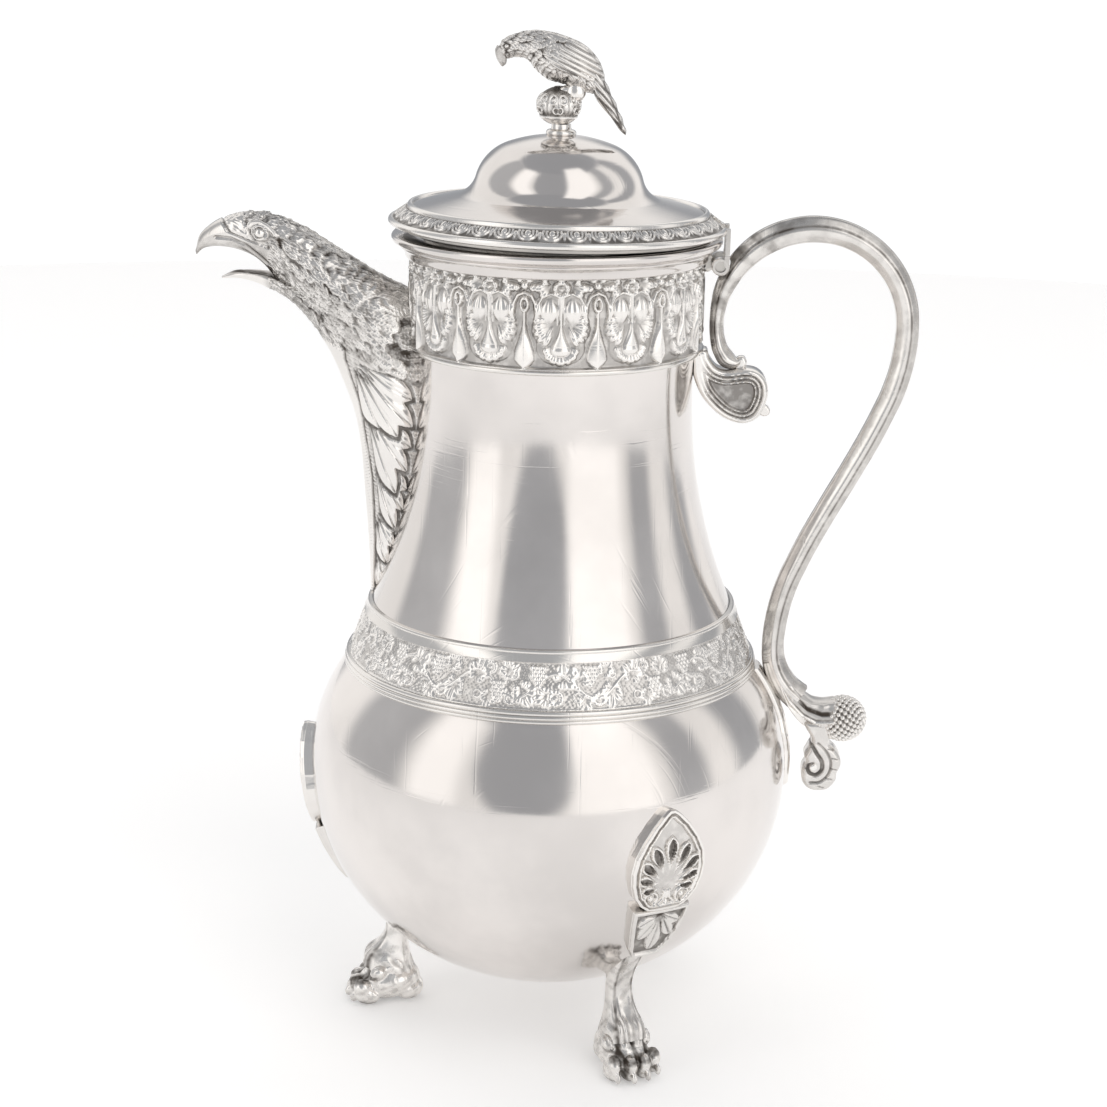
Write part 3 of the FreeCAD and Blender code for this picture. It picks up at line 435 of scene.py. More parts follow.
def lying_matrix(centre, bearing):
    """Puts a +Z cylinder at centre (mm) with its axis along the bearing."""
    return (Matrix.Translation([value * MM for value in centre]) @ Matrix.Rotation(bearing, 4, "Z")
            @ Matrix.Rotation(math.pi / 2, 4, "Y"))


def apply_modifiers(made):
    """Turns the piece's modifiers into its mesh."""
    graph = bpy.context.evaluated_depsgraph_get()
    mesh = bpy.data.meshes.new_from_object(made.evaluated_get(graph))
    made.modifiers.clear()
    old = made.data
    made.data = mesh
    bpy.data.meshes.remove(old)


def bands():
    """Half-round bead under the leaf band, the mouth rim and the mouldings of the vine band."""
    bead = [(36.7, 188.9), (36.7, 187.3)] + arc((37.6, 187.35), (37.6, 188.85), 0.78, 10)
    lathe("neck_bead", bead, "pot", BRIGHT, ["neck_band_lower_bead"])
    rim = [(36.6, 217.4), (36.6, 211.5), (39.0, 211.5), (39.3, 211.8)]
    rim += arc((39.45, 212.2), (40.5, 214.1), -3.0, 8)
    rim += arc((40.75, 214.3), (40.75, 214.95), 0.45, 6) + [(40.7, 215.15)]
    rim += arc((41.8, 215.3), (42.9, 216.3), 1.4, 8) + arc((42.95, 216.7), (42.4, 217.55), 0.8, 6)
    rim += [(37.0, 217.6)]
    lathe("mouth_rim_turned", rim, "pot", POLISHED, ["mouth_rim"], sharp=60, slot="polished_silver")

    def cone(height, proud):
        return cone_radius(height) + proud

    top = [(cone(119.9, 0.05), 119.9), (cone(116.9, 0.05), 116.9)]
    top += arc((cone(117.0, 1.2), 117.0), (cone(118.6, 0.75), 118.7), -9.0, 6)
    top += arc((cone(118.9, 0.8), 118.9), (cone(119.75, 0.55), 119.8), 0.55, 8)
    lathe("vine_moulding_upper", top, "pot", BRIGHT, ["vine_band_upper_moulding"])
    low = [(cone(105.7, 0.05), 105.7), (53.6, 104.4), (float(belly_radius(np.array(102.3))) + 0.06, 102.3)]
    low += arc((55.2, 102.3), (55.5, 103.2), 0.6, 6) + [(55.25, 103.35)]
    low += arc((55.35, 103.4), (55.25, 104.4), 0.62, 6) + [(55.0, 104.5)]
    low += arc((55.15, 104.55), (54.6, 105.65), 0.72, 6)
    lathe("vine_moulding_lower", low, "pot", BRIGHT, ["vine_band_lower_moulding"])


BAND_REPEATS = 13
# heights of the leaf band's edges, and radii of its highest and lowest places
BAND_LOW, BAND_HIGH, BAND_CREST, BAND_GROUND = 188.9, 211.5, 38.8, 37.2


def fan(u, v, at, leaves, widest, groove=0.0):
    """Petals from one root; a leaf is (degrees, length, width)."""
    height = np.zeros_like(u)
    for degrees, length, width in leaves:
        height = highest(height, petal(u, v, at, degrees, length, width, widest, groove))
    return height


def leaf_band_height(u, v, pitch):
    """One acanthus of the neck band about u = 0, v from the bead up; spears stand between."""
    side, apart = np.abs(u), pitch / 2 - np.abs(u)
    ground = highest(dot(side, v, (3.2, 15.2), 3.9), dot(side, v, (3.4, 10.2), 4.1),
                     dot(side, v, (1.6, 5.6), 4.6, 0.9))
    ground = smooth(0.02, 0.22, ground) * 0.22
    # the leaf: stem, hood, side lobes, a fan of lobes, and the ruffled tip over its cup
    stem = line(side, v, (0.0, 12.0), (0.0, 18.6), 0.55) * 0.85
    ridge = line(side, v, (0.95, 11.5), (0.55, 18.0), 0.3) * 0.7
    hood = curve_line(side, v, [(0.9, 18.4), (2.6, 19.1), (4.8, 18.2), (6.1, 15.8), (6.5, 12.8)], 0.45)
    lobes = highest(petal(side, v, (2.9, 18.6), -88, 8.2, 2.5, 1.0, 0.2),
                    petal(side, v, (5.4, 17.4), -80, 5.6, 1.0, 1.0))
    flare = 0.35 + 2.6 * smooth(13.0, 3.6, v) ** 1.6
    body = np.sqrt(np.clip(1 - (side / flare) ** 2, 0, 1)) * (v < 13.5) * (v > 5.6) * 0.85
    body = highest(body, petal(side, v, (1.1, 12.6), -62, 7.6, 0.8, 1.6) * 0.72)
    side_fan = fan(side, v, (0.5, 11.6), ((10, 6.6, 0.85), (-8, 7.2, 0.95), (-24, 7.5, 1.0), (-40, 7.6, 1.0),
                                          (-55, 7.4, 0.85)), 2.2, 0.3)
    ruffle = fan(side, v, (0.2, 7.2), ((-90, 6.4, 1.2), (-71, 6.3, 1.2), (-53, 6.1, 1.2), (-36, 5.6, 1.2)),
                 3.0, 0.2)
    cup = dot(side, v, (0, 4.8), 2.7, 0.6)
    # flowers and small leaves along the top
    crown = highest(fan(side, v, (2.3, 20.9), ((-42, 4.6, 1.15), (-8, 4.9, 1.2), (24, 3.2, 0.85)), 1.7, 0.3),
                    fan(apart, v, (3.4, 22.0), ((-128, 3.4, 0.95), (-90, 3.0, 0.95), (170, 3.4, 0.95),
                                                (130, 2.0, 0.95)), 1.7, 0.3),
                    dot(apart, v, (0, 20.9), 1.1))
    bloom = flower(u, v, (0, 20.1), 2.5, 5)
    # the spear between two leaves, with its eye, arch and beads
    half = 0.4 + 2.3 * smooth(13.5, 2.6, v) ** 1.3
    half = half * np.sqrt(np.clip((v - 0.35) / 2.0, 0, 1))
    spear = np.clip(1 - (apart / np.maximum(half, 0.05)), 0, 1) ** 0.8 * (v < 14.6) * (v > 0.35)
    spear = np.where(spear > 0, 0.3 + 0.7 * spear, 0)
    eye = ring(apart, v, (0, 16.3), 0.9, 0.42, 1.75)
    arch = curve_line(apart, v, [(3.0, 13.6), (2.8, 16.4), (1.8, 18.4), (0, 19.2)], 0.5)
    beads = highest(dot(apart, v, (2.9, 12.2), 0.75), dot(apart, v, (3.3, 10.2), 0.6))
    return highest(ground, stem, ridge, hood * 0.7, lobes * 0.95, body, side_fan * 0.9, ruffle * 0.85,
                   cup * 0.95, crown * 0.8, bloom, spear, eye, arch * 0.75, beads * 0.6)


def leaf_band():
    """Acanthus band round the top of the neck."""
    outer = [(BAND_CREST, float(h)) for h in np.linspace(BAND_LOW, BAND_HIGH, 98)]
    profile = outer + [(36.7, BAND_HIGH), (36.7, BAND_LOW)]
    pitch = 2 * math.pi * BAND_CREST / BAND_REPEATS

    def carve(angle, radius, height):
        u = around(angle, 86.0, BAND_CREST, pitch, radius)
        v = height - BAND_LOW
        relief = leaf_band_height(u, v, pitch)
        edge = smooth(0.0, 0.5, v) * smooth(22.6, 22.2, v)
        relief = 1 - (1 - relief) * edge
        outside = radius > 37.0
        carved = np.where(outside, BAND_GROUND + (BAND_CREST - BAND_GROUND) * relief ** 0.8, radius)
        return carved, height, np.where(outside, 0.5 * (1 - smooth(0.15, 0.75, relief)), 0)

    lathe("neck_leaf_band_relief", profile, "pot", CAST, ["neck_leaf_band"], 960, carve, sharp=180)


VINE_REPEATS = 8
VINE_DEPTH = 0.9
VINE_RADIUS = 52.3
# (place, lean) of each bunch of grapes, and how many grapes there are in each row of a bunch
GRAPES = (((-11.5, 6.4), 0.4), ((12.8, 10.8), -0.3), ((-1.2, 10.6), 0.2))
GRAPE_ROWS = (4, 3, 4, 3, 2, 1)
# (place, direction, size) of each leaf; a leaf has five lobes of (direction, length, width)
VINE_LEAVES = (
    ((-5.0, 4.6), -60, 5.2), ((5.4, 7.8), 30, 5.4), ((-17.2, 8.0), 70, 5.2), ((18.0, 4.6), -100, 5.2),
    ((9.6, 7.0), 120, 4.6), ((-8.6, 9.0), 100, 4.4), ((1.4, 3.4), 200, 4.4), ((-13.6, 2.8), 260, 3.8),
    ((16.6, 9.6), 60, 3.8), ((10.6, 2.6), 300, 3.6),
)
LOBES = ((0, 1.0, 0.36), (62, 0.82, 0.32), (-62, 0.82, 0.32), (122, 0.6, 0.28), (-122, 0.6, 0.28))
# (place, radius, width of the ring) of each tendril, and (place, radius, direction) of each flower
TENDRILS = (((-7.5, 8.6), 1.2, 0.4), ((9.2, 3.2), 1.2, 0.4),
            ((18.2, 8.8), 1.0, 0.35), ((-16.5, 3.0), 1.0, 0.35))
VINE_FLOWERS = (((3.4, 3.0), 2.4, 20), ((-13.8, 10.0), 2.0, 90),
                ((14.4, 2.6), 2.1, 90), ((-7.8, 2.6), 2.0, 90))


def vine_height(u, v, pitch):
    """One stretch of the vine, u along it and v up the band, 0 to 12."""
    steps = np.linspace(-pitch / 2, pitch / 2, 40)
    stem = [(x, 6.0 + 3.2 * math.sin(2 * math.pi * x / (pitch / 2) + 0.5)) for x in steps]
    shapes = [curve_line(u, v, stem, 0.5) * 0.8]
    for at, radius, width in TENDRILS:
        shapes.append(ring(u, v, at, radius, width) * 0.7)
    for at, lean in GRAPES:
        for row, count in enumerate(GRAPE_ROWS):
            for number in range(count):
                across = (number - (count - 1) / 2) * 1.15
                place = (at[0] + across + lean * row * 0.3, at[1] - row * 0.95)
                shapes.append(dot(u, v, place, 0.66))
    for at, turn, size in VINE_LEAVES:
        lobes = [(turn + degrees, length * size, width * size) for degrees, length, width in LOBES]
        shapes.append(fan(u, v, at, lobes, 1.25, 0.45) * 0.95)
    for at, radius, turn in VINE_FLOWERS:
        shapes.append(flower(u, v, at, radius, 6, turn))
    grain = 0.5 + 0.5 * np.cos(u * 4.6 + 1.5 * np.sin(v * 2.1)) * np.cos(v * 4.9 + 1.2 * np.sin(u * 1.7))
    shapes.append(0.16 + 0.24 * grain)
    return highest(*shapes)


def along_line(start, end, count):
    """Evenly spaced points from start to end."""
    return [(start[0] + (end[0] - start[0]) * s, start[1] + (end[1] - start[1]) * s)
            for s in np.linspace(0, 1, count)]


def vine_band():
    """Vine and grapes on the cone over the shoulder."""
    low, high = (54.45, 105.72), (50.15, 116.88)
    profile = along_line(low, high, 58) + [(high[0] - 1.02, high[1]), (low[0] - 1.38, low[1])]
    slant = math.hypot(high[0] - low[0], high[1] - low[1])
    pitch = 2 * math.pi * VINE_RADIUS / VINE_REPEATS

    def carve(angle, radius, height):
        u = around(angle, 90.0, VINE_RADIUS, pitch, radius)
        v = (height - low[1]) / (high[1] - low[1]) * slant
        relief = sunk_edges(vine_height(u, v, pitch), v, 0.35, slant)
        outside = radius > low[0] + (high[0] - low[0]) * v / slant - 0.5
        carved = np.where(outside, radius - VINE_DEPTH * (1 - relief ** 0.8), radius)
        return carved, height, np.where(outside, 0.42 * (1 - smooth(0.12, 0.7, relief)), 0)

    lathe("vine_band_relief", profile, "pot", CAST, ["vine_band"], 1300, carve, sharp=180)


# ---------------------------------------------------------------- lid

def lid_shell():
    """Raised lid: a sloping flange, a hollow and the dome; the same curve again makes its underside."""
    thickness, bore = 0.95, 1.2
    flange = [(37.6, 223.7)] + [(x, 223.7 + (37.6 - x) / 11.1 * 2.7) for x in (34.0, 30.0)]
    top = flange + arc((26.5, 226.4), (21.6, 231.4), -7.0, 14)
    top += arc((21.6, 231.4), (14.0, 239.9), 12.7, 18)[1:] + arc((14.0, 239.9), (bore, 242.38), 40.2, 12)[1:]
    under = [(max(r - 0.35, bore) if r > 2 else bore, z - thickness) for r, z in top[::-1]]
    lathe("lid_dome_raised", top + under, "lid", POLISHED, ["lid_dome"], 288, sharp=55,
          slot="polished_silver")


BORDER_REPEATS = 42
BORDER_RADIUS = 41.2


def lid_border():
    """Sloping border of small cups and darts round the lid's edge."""
    low, high = (43.3, 220.6), (39.0, 223.6)
    face = along_line(low, high, 26)
    bead = arc((43.2, 218.75), (43.3, 220.55), 0.93, 10)
    step = arc((39.0, 223.65), (38.2, 224.28), 0.7, 5) + [(37.8, 224.1), (37.65, 223.72)]
    inside = [(37.6, 222.8), (41.9, 219.6), (42.0, 218.8)]
    profile = bead + face[1:] + step + inside
    slant = math.hypot(low[0] - high[0], high[1] - low[1])
    pitch = 2 * math.pi * BORDER_RADIUS / BORDER_REPEATS
    normal = np.array([high[1] - low[1], low[0] - high[0]]) / slant
    carved = slice(len(bead), len(bead) + len(face) - 1)

    def carve(angle, radius, height):
        u = around(angle, 90.0, BORDER_RADIUS, pitch, radius)
        v = np.clip((height - low[1]) / (high[1] - low[1]), 0, 1) * slant
        side = np.abs(u)
        cup = highest(ring(u, v, (0, 3.7), 2.35, 0.36, 1.05), ring(u, v, (0, 3.7), 1.45, 0.34, 1.1) * 0.9,
                      dot(u, v, (0, 3.6), 0.85, 1.5) * 0.9) * (v < 4.6)
        dart = petal(pitch / 2 - side, v, (0, 4.7), -90, 4.0, 0.42, 0.8) * 0.9
        leaf = petal(side, v, (pitch / 2, 4.2), -120, 3.2, 0.35, 1.2) * 0.7
        relief = sunk_edges(highest(cup, dart, leaf), v, 0.4, slant)
        drop, stain = np.zeros_like(radius), np.zeros_like(radius)
        drop[:, carved] = 0.55 * (1 - relief[:, carved])
        stain[:, carved] = 0.8 * (1 - smooth(0.05, 0.5, relief[:, carved]))
        return radius - normal[0] * drop, height - normal[1] * drop, stain

    made = lathe("lid_border_relief", profile, "lid", CAST, ["lid_border"], 1176, carve, sharp=180)
    cut_slot(made)


def cut_slot(made):
    """Cuts the border's slot at the back, which straddles the handle when the lid is open."""
    centre, size = (44.6, 0.0, 221.0), (10.0, 8.0, 16.0)
    work = bmesh.new()
    bmesh.ops.create_cube(work, size=1.0)
    for vert in work.verts:
        vert.co = Vector([(centre[k] + vert.co[k] * size[k]) * MM for k in range(3)])
    cut_away(made, work)


# ---------------------------------------------------------------- swept and lofted forms

def spline_rows(rows, count):
    """Resamples rows of numbers along a smooth curve through them, evenly by the first two columns."""
    rows = np.array(rows, float)
    steps = np.concatenate([[0], np.cumsum(np.hypot(*np.diff(rows[:, :2], axis=0).T))])
    wanted = np.linspace(0, steps[-1], count)
    slopes = np.gradient(rows, steps, axis=0)
    index = np.clip(np.searchsorted(steps, wanted, side="right") - 1, 0, len(rows) - 2)
    span = (steps[index + 1] - steps[index])[:, None]
    t = ((wanted - steps[index])[:, None]) / span
    return ((2 * t ** 3 - 3 * t ** 2 + 1) * rows[index] + (t ** 3 - 2 * t ** 2 + t) * span * slopes[index]
            + (3 * t ** 2 - 2 * t ** 3) * rows[index + 1] + (t ** 3 - t ** 2) * span * slopes[index + 1])


def tube_points(stations, rows, columns, shape=1.0, front=1.0):
    """Closed tube in the plane y = 0; a station is (front x, z, back x, z, half width).

    `shape` under 1 squares the section; `front` under 1 narrows it towards the front point.
    """
    smoothed = spline_rows(stations, rows)
    turn = np.linspace(0, 2 * math.pi, columns, endpoint=False)
    share = (1 - np.cos(turn)) / 2
    side = np.sign(np.sin(turn)) * np.abs(np.sin(turn)) ** shape
    side = side * (front + (1 - front) * smooth(0.0, 0.55, share))
    first, last = smoothed[:, None, :2], smoothed[:, None, 2:4]
    middle = first + (last - first) * share[None, :, None]
    points = np.empty((rows, columns, 3))
    points[..., 0], points[..., 2] = middle[..., 0], middle[..., 1]
    points[..., 1] = side[None, :] * smoothed[:, 4:5]
    return points


def grid_normals(points):
    """Unit normals of a closed tube's grid of points, all one way round, away from its middle."""
    along = np.gradient(points, axis=0)
    across = (np.roll(points, -1, axis=1) - np.roll(points, 1, axis=1)) / 2
    normal = np.cross(across, along)
    length = np.linalg.norm(normal, axis=-1, keepdims=True)
    normal = normal / np.maximum(length, 1e-9)
    middle = points.mean(axis=1, keepdims=True)
    return normal if np.sum((points - middle) * normal) > 0 else -normal


def clear_wall(points, wall, where=True):
    """Moves points nearer the pot's axis than the wall out to it."""
    reach = np.hypot(points[..., 0], points[..., 1])
    scale = np.where((reach < wall) & where, wall / np.maximum(reach, 1e-3), 1.0)
    points[..., 0] *= scale
    points[..., 1] *= scale


def end_fade(rows, steps):
    """0 at both ends of a tube's rows, rising to 1 over some steps."""
    row = np.arange(rows)
    return smooth(0, steps, np.minimum(row, rows - 1 - row))[:, None]


def tube_faces(rows, columns):
    """Faces of a closed tube with flat ends."""
    faces = [tuple(face) for face in grid_faces(rows, columns, False, True)]
    faces.append(tuple(range(columns)))
    faces.append(tuple(range(rows * columns - 1, (rows - 1) * columns - 1, -1)))
    return faces


def join(parts):
    """Joins (points, faces, tarnish and painted shade) parts into one."""
    points, faces, tarnish_and_shade, start = [], [], [], 0
    for part_points, part_faces, part_tarnish_and_shade in parts:
        part_points = np.asarray(part_points, float).reshape(-1, 3)
        points.append(part_points)
        faces += [tuple(int(k) + start for k in face) for face in part_faces]
        tarnish_and_shade.append(np.broadcast_to(np.asarray(part_tarnish_and_shade, float).reshape(-1), (len(part_points),)))
        start += len(part_points)
    return np.concatenate(points), faces, np.concatenate(tarnish_and_shade)


def plumage(along, across, long, wide, seed, barbs=0.18):
    """Overlapping feathers, 0 to 1 high, whose tips point along +along."""
    source = np.random.default_rng(seed)
    table = source.uniform(-1, 1, (64, 64, 3))
    height = np.full_like(along, 0.12)
    for back in (0, 1, 2):
        row = np.floor(along / long).astype(int) - back
        for aside in (-1, 0, 1):
            column = np.floor(across / wide + 0.5 * (row % 2)).astype(int) + aside
            jitter = table[row % 64, column % 64]
            middle = (column + 0.5 - 0.5 * (row % 2)) * wide + jitter[..., 0] * wide * 0.28
            start = row * long + jitter[..., 1] * long * 0.3
            share = (along - start) / (long * (1.95 + 0.3 * jitter[..., 2]))
            lean = (across - middle - jitter[..., 2] * 0.25 * (along - start)) / (wide * 0.68)
            half = np.sin(math.pi * np.clip(share, 0, 1) ** 1.35)
            inside = (share > 0) & (share < 1) & (np.abs(lean) < half)
            comb = 0.5 + 0.5 * np.cos(2 * math.pi * (along - start + np.abs(lean) * wide) / 0.75)
            droop = 0.45 * np.clip(np.abs(lean) / np.maximum(half, 0.05), 0, 1) ** 3
            top = 0.25 + 0.75 * np.clip(share, 0, 1) ** 0.8 * (1 - droop)
            top = top * (1 - barbs * comb) - 0.22 * np.exp(-(lean / 0.12) ** 2)
            over = top if back else np.maximum(top, height)
            height = np.where(inside, over, height)
    return np.clip(height, 0, 1)


# ---------------------------------------------------------------- eagle spout

# front x, z, back x, z, half width, from the foot of the spout to the tip of the upper beak
SPOUT = (
    (-48.9, 120.0, -42.0, 120.0, 1.6), (-49.2, 128.0, -39.0, 129.5, 4.0),
    (-49.7, 138.0, -34.5, 140.0, 5.8), (-50.5, 149.0, -32.5, 152.0, 7.2),
    (-51.3, 159.0, -31.5, 163.0, 8.4), (-53.0, 169.0, -31.0, 174.5, 9.6),
    (-56.0, 177.5, -31.0, 184.5, 10.5), (-60.0, 186.3, -32.5, 193.5, 11.1),
    (-64.4, 192.7, -36.0, 201.0, 11.2), (-69.3, 198.4, -47.0, 206.8, 10.4),
    (-73.2, 203.2, -58.0, 213.4, 9.2), (-75.6, 207.0, -66.5, 218.6, 8.0),
    (-78.6, 209.6, -75.5, 221.9, 6.7), (-82.4, 211.3, -82.4, 221.7, 5.5),
    (-86.0, 212.1, -87.2, 220.1, 4.4), (-89.4, 212.2, -91.0, 217.7, 3.2),
    (-92.3, 211.6, -93.5, 214.9, 1.9), (-94.2, 210.0, -94.45, 211.2, 0.4),
)
JAW = (
    (-62.0, 191.6, -60.0, 200.0, 7.0), (-69.5, 198.2, -66.5, 204.5, 6.6), (-75.0, 201.5, -73.4, 207.2, 5.5),
    (-79.6, 203.4, -79.0, 207.2, 4.2), (-84.0, 204.1, -83.7, 206.4, 2.8), (-87.6, 203.9, -87.7, 204.5, 0.5),
)


def side_leaf(x, z, root, lobes, width):
    """Long-lobed leaf in side view: how high it stands, and where it and its outline are."""
    field, near, vein = np.zeros_like(x), np.zeros_like(x), np.zeros_like(x)
    for place in lobes:
        dx, dz = place[0] - root[0], place[1] - root[1]
        length = math.hypot(dx, dz) * 1.04
        degrees = math.degrees(math.atan2(dz, dx))
        field = highest(field, petal(x, z, root, degrees, length, width, 2.3))
        near = highest(near, petal(x, z, root, degrees, length * 1.04, width * 1.28, 2.3))
        vein = highest(vein, line(x, z, root, place, 0.3))
    turn = np.arctan2(z - root[1], x - root[0])
    ribs = 0.5 + 0.5 * np.cos(turn * 58.0)
    height = 0.42 + 0.5 * field - 0.38 * vein + 0.16 * ribs * field
    return height, field > 0.12, near > 0.05


# root, lobe tips and lobe width of each leaf down the side of the spout, lowest first
SPOUT_LEAVES = (
    ((-47.6, 131.5), ((-47.0, 121.6), (-45.0, 124.6), (-43.8, 128.0)), 1.6),
    ((-48.2, 143.5), ((-44.6, 128.6), (-42.6, 133.4), (-41.2, 138.0)), 1.9),
    ((-49.0, 159.0), ((-42.0, 138.8), (-39.8, 144.0), (-38.6, 149.6)), 2.3),
    ((-51.4, 173.0), ((-41.8, 149.0), (-38.6, 155.0), (-37.4, 161.4)), 2.7),
    ((-54.3, 185.2), ((-46.2, 166.6), (-41.0, 164.6), (-37.0, 167.2), (-37.0, 174.4)), 3.0),
)


# middle of the eagle's eye, as (x, z)
EYE = (-76.9, 216.9)
# (z, x) of lines across the spout: front strip under the neck, back of the beak, fold before the brow
STRIP_EDGE = ((118, -48.2), (134.8, -47.8), (151.9, -48.5), (172.6, -51.7), (184.0, -55.3))
BEAK_EDGE = ((212.5, -74.5), (214.4, -79.6), (216.6, -84.8), (219.6, -87.0), (221.5, -87.6))
BROW_EDGE = ((213.0, -77.4), (215.7, -78.7), (218.3, -80.1), (221.3, -81.2))
# (x, z) along the brow, and along the rim of the gape and the groove beside it
BROW = ((-80.6, 217.9), (-79.4, 219.5), (-77.0, 219.9), (-74.6, 218.8), (-72.4, 216.6))
GAPE_RIM = ((-90.5, 213.6), (-87.0, 213.7), (-83.6, 213.0), (-80.4, 211.2), (-78.2, 208.6), (-76.6, 207.6))
GAPE_GROOVE = ((-88.5, 215.0), (-84.5, 214.8), (-80.8, 213.2), (-77.6, 210.6), (-75.2, 208.6))


def neck_feathers(points):
    """Feathers that grow larger down the neck; their tips point from the head towards the pot."""
    x, y, z = points[..., 0], np.abs(points[..., 1]), points[..., 2]
    along = (x + 88.0) * 0.80 + (222.0 - z) * 0.60 + 0.10 * y
    across = (x + 88.0) * 0.60 - (222.0 - z) * 0.80 + 0.9 * y
    small = plumage(along, across, 2.5, 1.9, 11, 0.3)
    large = plumage(along, across, 6.0, 3.8, 5, 0.3)
    low = smooth(34, 54, along)
    height = small * (1 - 0.6 * low) + large * 0.6 * low
    return np.clip(height * 1.1 - 0.10 + 0.12 * noise(points, 0.8, 12, 2), 0, 1)


def leafy_side(points, below):
    """Leaves down the side, the upper ones over the lower ones, and a hatched strip in front."""
    x, z = points[..., 0], points[..., 2]
    height = 0.48 + 0.16 * noise(points * np.array([1, 0.2, 1]), 0.9, 3, 2)
    for root, lobes, width in SPOUT_LEAVES:
        leaf, on_leaf, near_leaf = side_leaf(x, z, root, lobes, width)
        height = np.where(near_leaf, 0.02, height)
        height = np.where(on_leaf, leaf, height)
    edge_x = look_up(z, STRIP_EDGE)
    strip = smooth(0.5, -0.3, x - edge_x)
    hatch = 0.86 + 0.07 * np.cos(2 * math.pi * (z - x * 0.5) / 0.9)
    groove = np.exp(-((x - edge_x - 0.1) / 0.28) ** 2) * 0.5
    return height * (1 - strip) + hatch * strip - groove * below


def head_relief(points, height, beak):
    """Cuts the smooth beak, stippled cere, lore, eye, brow and gape into the feathers."""
    x, z = points[..., 0], points[..., 2]
    beak_x, brow_x = look_up(z, BEAK_EDGE), look_up(z, BROW_EDGE)
    cere = smooth(0.3, -0.3, x - brow_x) * (1 - beak)
    height = height * (1 - cere) + (0.72 + 0.13 * noise(points, 0.7, 8, 1)) * cere
    height = height * (1 - beak) + 0.93 * beak
    lore = dot(x, z, (-76.6, 216.6), 3.6, 0.85)
    sunk = np.minimum(height, 0.78 - 0.42 * smooth(0.0, 0.7, lore))
    height = np.where((lore > 0.02) & (beak < 0.5), sunk, height)
    eye = highest(dot(x, z, EYE, 1.35), ring(x, z, EYE, 1.95, 0.42) * 0.62)
    height = np.where(eye > 0.02, np.maximum(height, 0.25 + 0.75 * eye), height)
    brow = curve_line(x, z, BROW, 0.85)
    height = np.maximum(height, brow * (brow > 0.05))
    lines = highest(np.exp(-((x - beak_x) / 0.33) ** 2) * smooth(213, 214.5, z),
                    np.exp(-((x - brow_x) / 0.25) ** 2) * smooth(214, 215, z) * smooth(222, 220, z) * 0.8)
    rim = curve_line(x, z, GAPE_RIM, 0.55)
    groove = curve_line(x, z, GAPE_GROOVE, 0.7)
    height = np.maximum(height, rim * 0.95)
    height = height - 0.55 * groove * (rim < 0.3) - 0.6 * lines
    return np.clip(height, 0, 1), eye


def spout_relief(points):
    """How far each point of the eagle is carved in, in mm, and its tarnish."""
    x, z = points[..., 0], points[..., 2]
    below = smooth(0.6, -0.6, z - (186.0 - (x + 54.4) * 0.42))
    beak = smooth(0.4, -0.4, x - look_up(z, BEAK_EDGE))
    height = neck_feathers(points) * (1 - below) + leafy_side(points, below) * below
    height, eye = head_relief(points, height, beak)
    head = smooth(-69.0, -73.0, x) * smooth(211.8, 213.2, z)
    depth = 1.1 + 0.35 * head * (eye < 0.02)
    stain = 1.0 - smooth(0.15, 0.68, height)
    cloudy = smooth(-0.2, 0.9, noise(points, 7.0, 14, 3)) * smooth(-84.0, -66.0, x) * (1 - below)
    # the beak is also made darker towards its tip and along its lower edge by the gape
    gape = np.interp(x, [-94.0, -84.0], [210.5, 213.0])
    tip = 0.3 * beak * smooth(-84.0, -93.0, x) + 0.35 * beak * smooth(2.2, 0.4, z - gape)
    return depth * (1 - height), np.clip(stain * 0.85 + 0.38 * cloudy + tip, 0, 1)


def vertex_rows(mesh, key):
    """One (x, y, z) row for each vertex: its place, "co", or its "normal"."""
    flat = np.empty(len(mesh.vertices) * 3, dtype=np.float32)
    mesh.vertices.foreach_get(key, flat)
    return flat.reshape(-1, 3).astype(float)


def half_of(points, faces, tarnish_and_shade, side):
    """Keeps one side of a form cut on the plane y = 0, and closes the cut."""
    mesh = make_mesh("half", points, faces, tarnish_and_shade)
    work = bmesh.new()
    work.from_mesh(mesh)
    cut = bmesh.ops.bisect_plane(work, geom=work.verts[:] + work.edges[:] + work.faces[:], dist=1e-5,
                                 plane_co=(0, 0, 0), plane_no=(0, -side, 0), clear_outer=True)
    edges = [item for item in cut["geom_cut"] if isinstance(item, bmesh.types.BMEdge)]
    bmesh.ops.holes_fill(work, edges=edges)
    work.to_mesh(mesh)
    work.free()
    kept_points = vertex_rows(mesh, "co")
    kept_faces = [tuple(polygon.vertices) for polygon in mesh.polygons]
    stain = np.empty(len(kept_points), dtype=np.float32)
    mesh.attributes["tarnish_and_shade"].data.foreach_get("value", stain)
    bpy.data.meshes.remove(mesh)
    return kept_points, kept_faces, stain.astype(float)


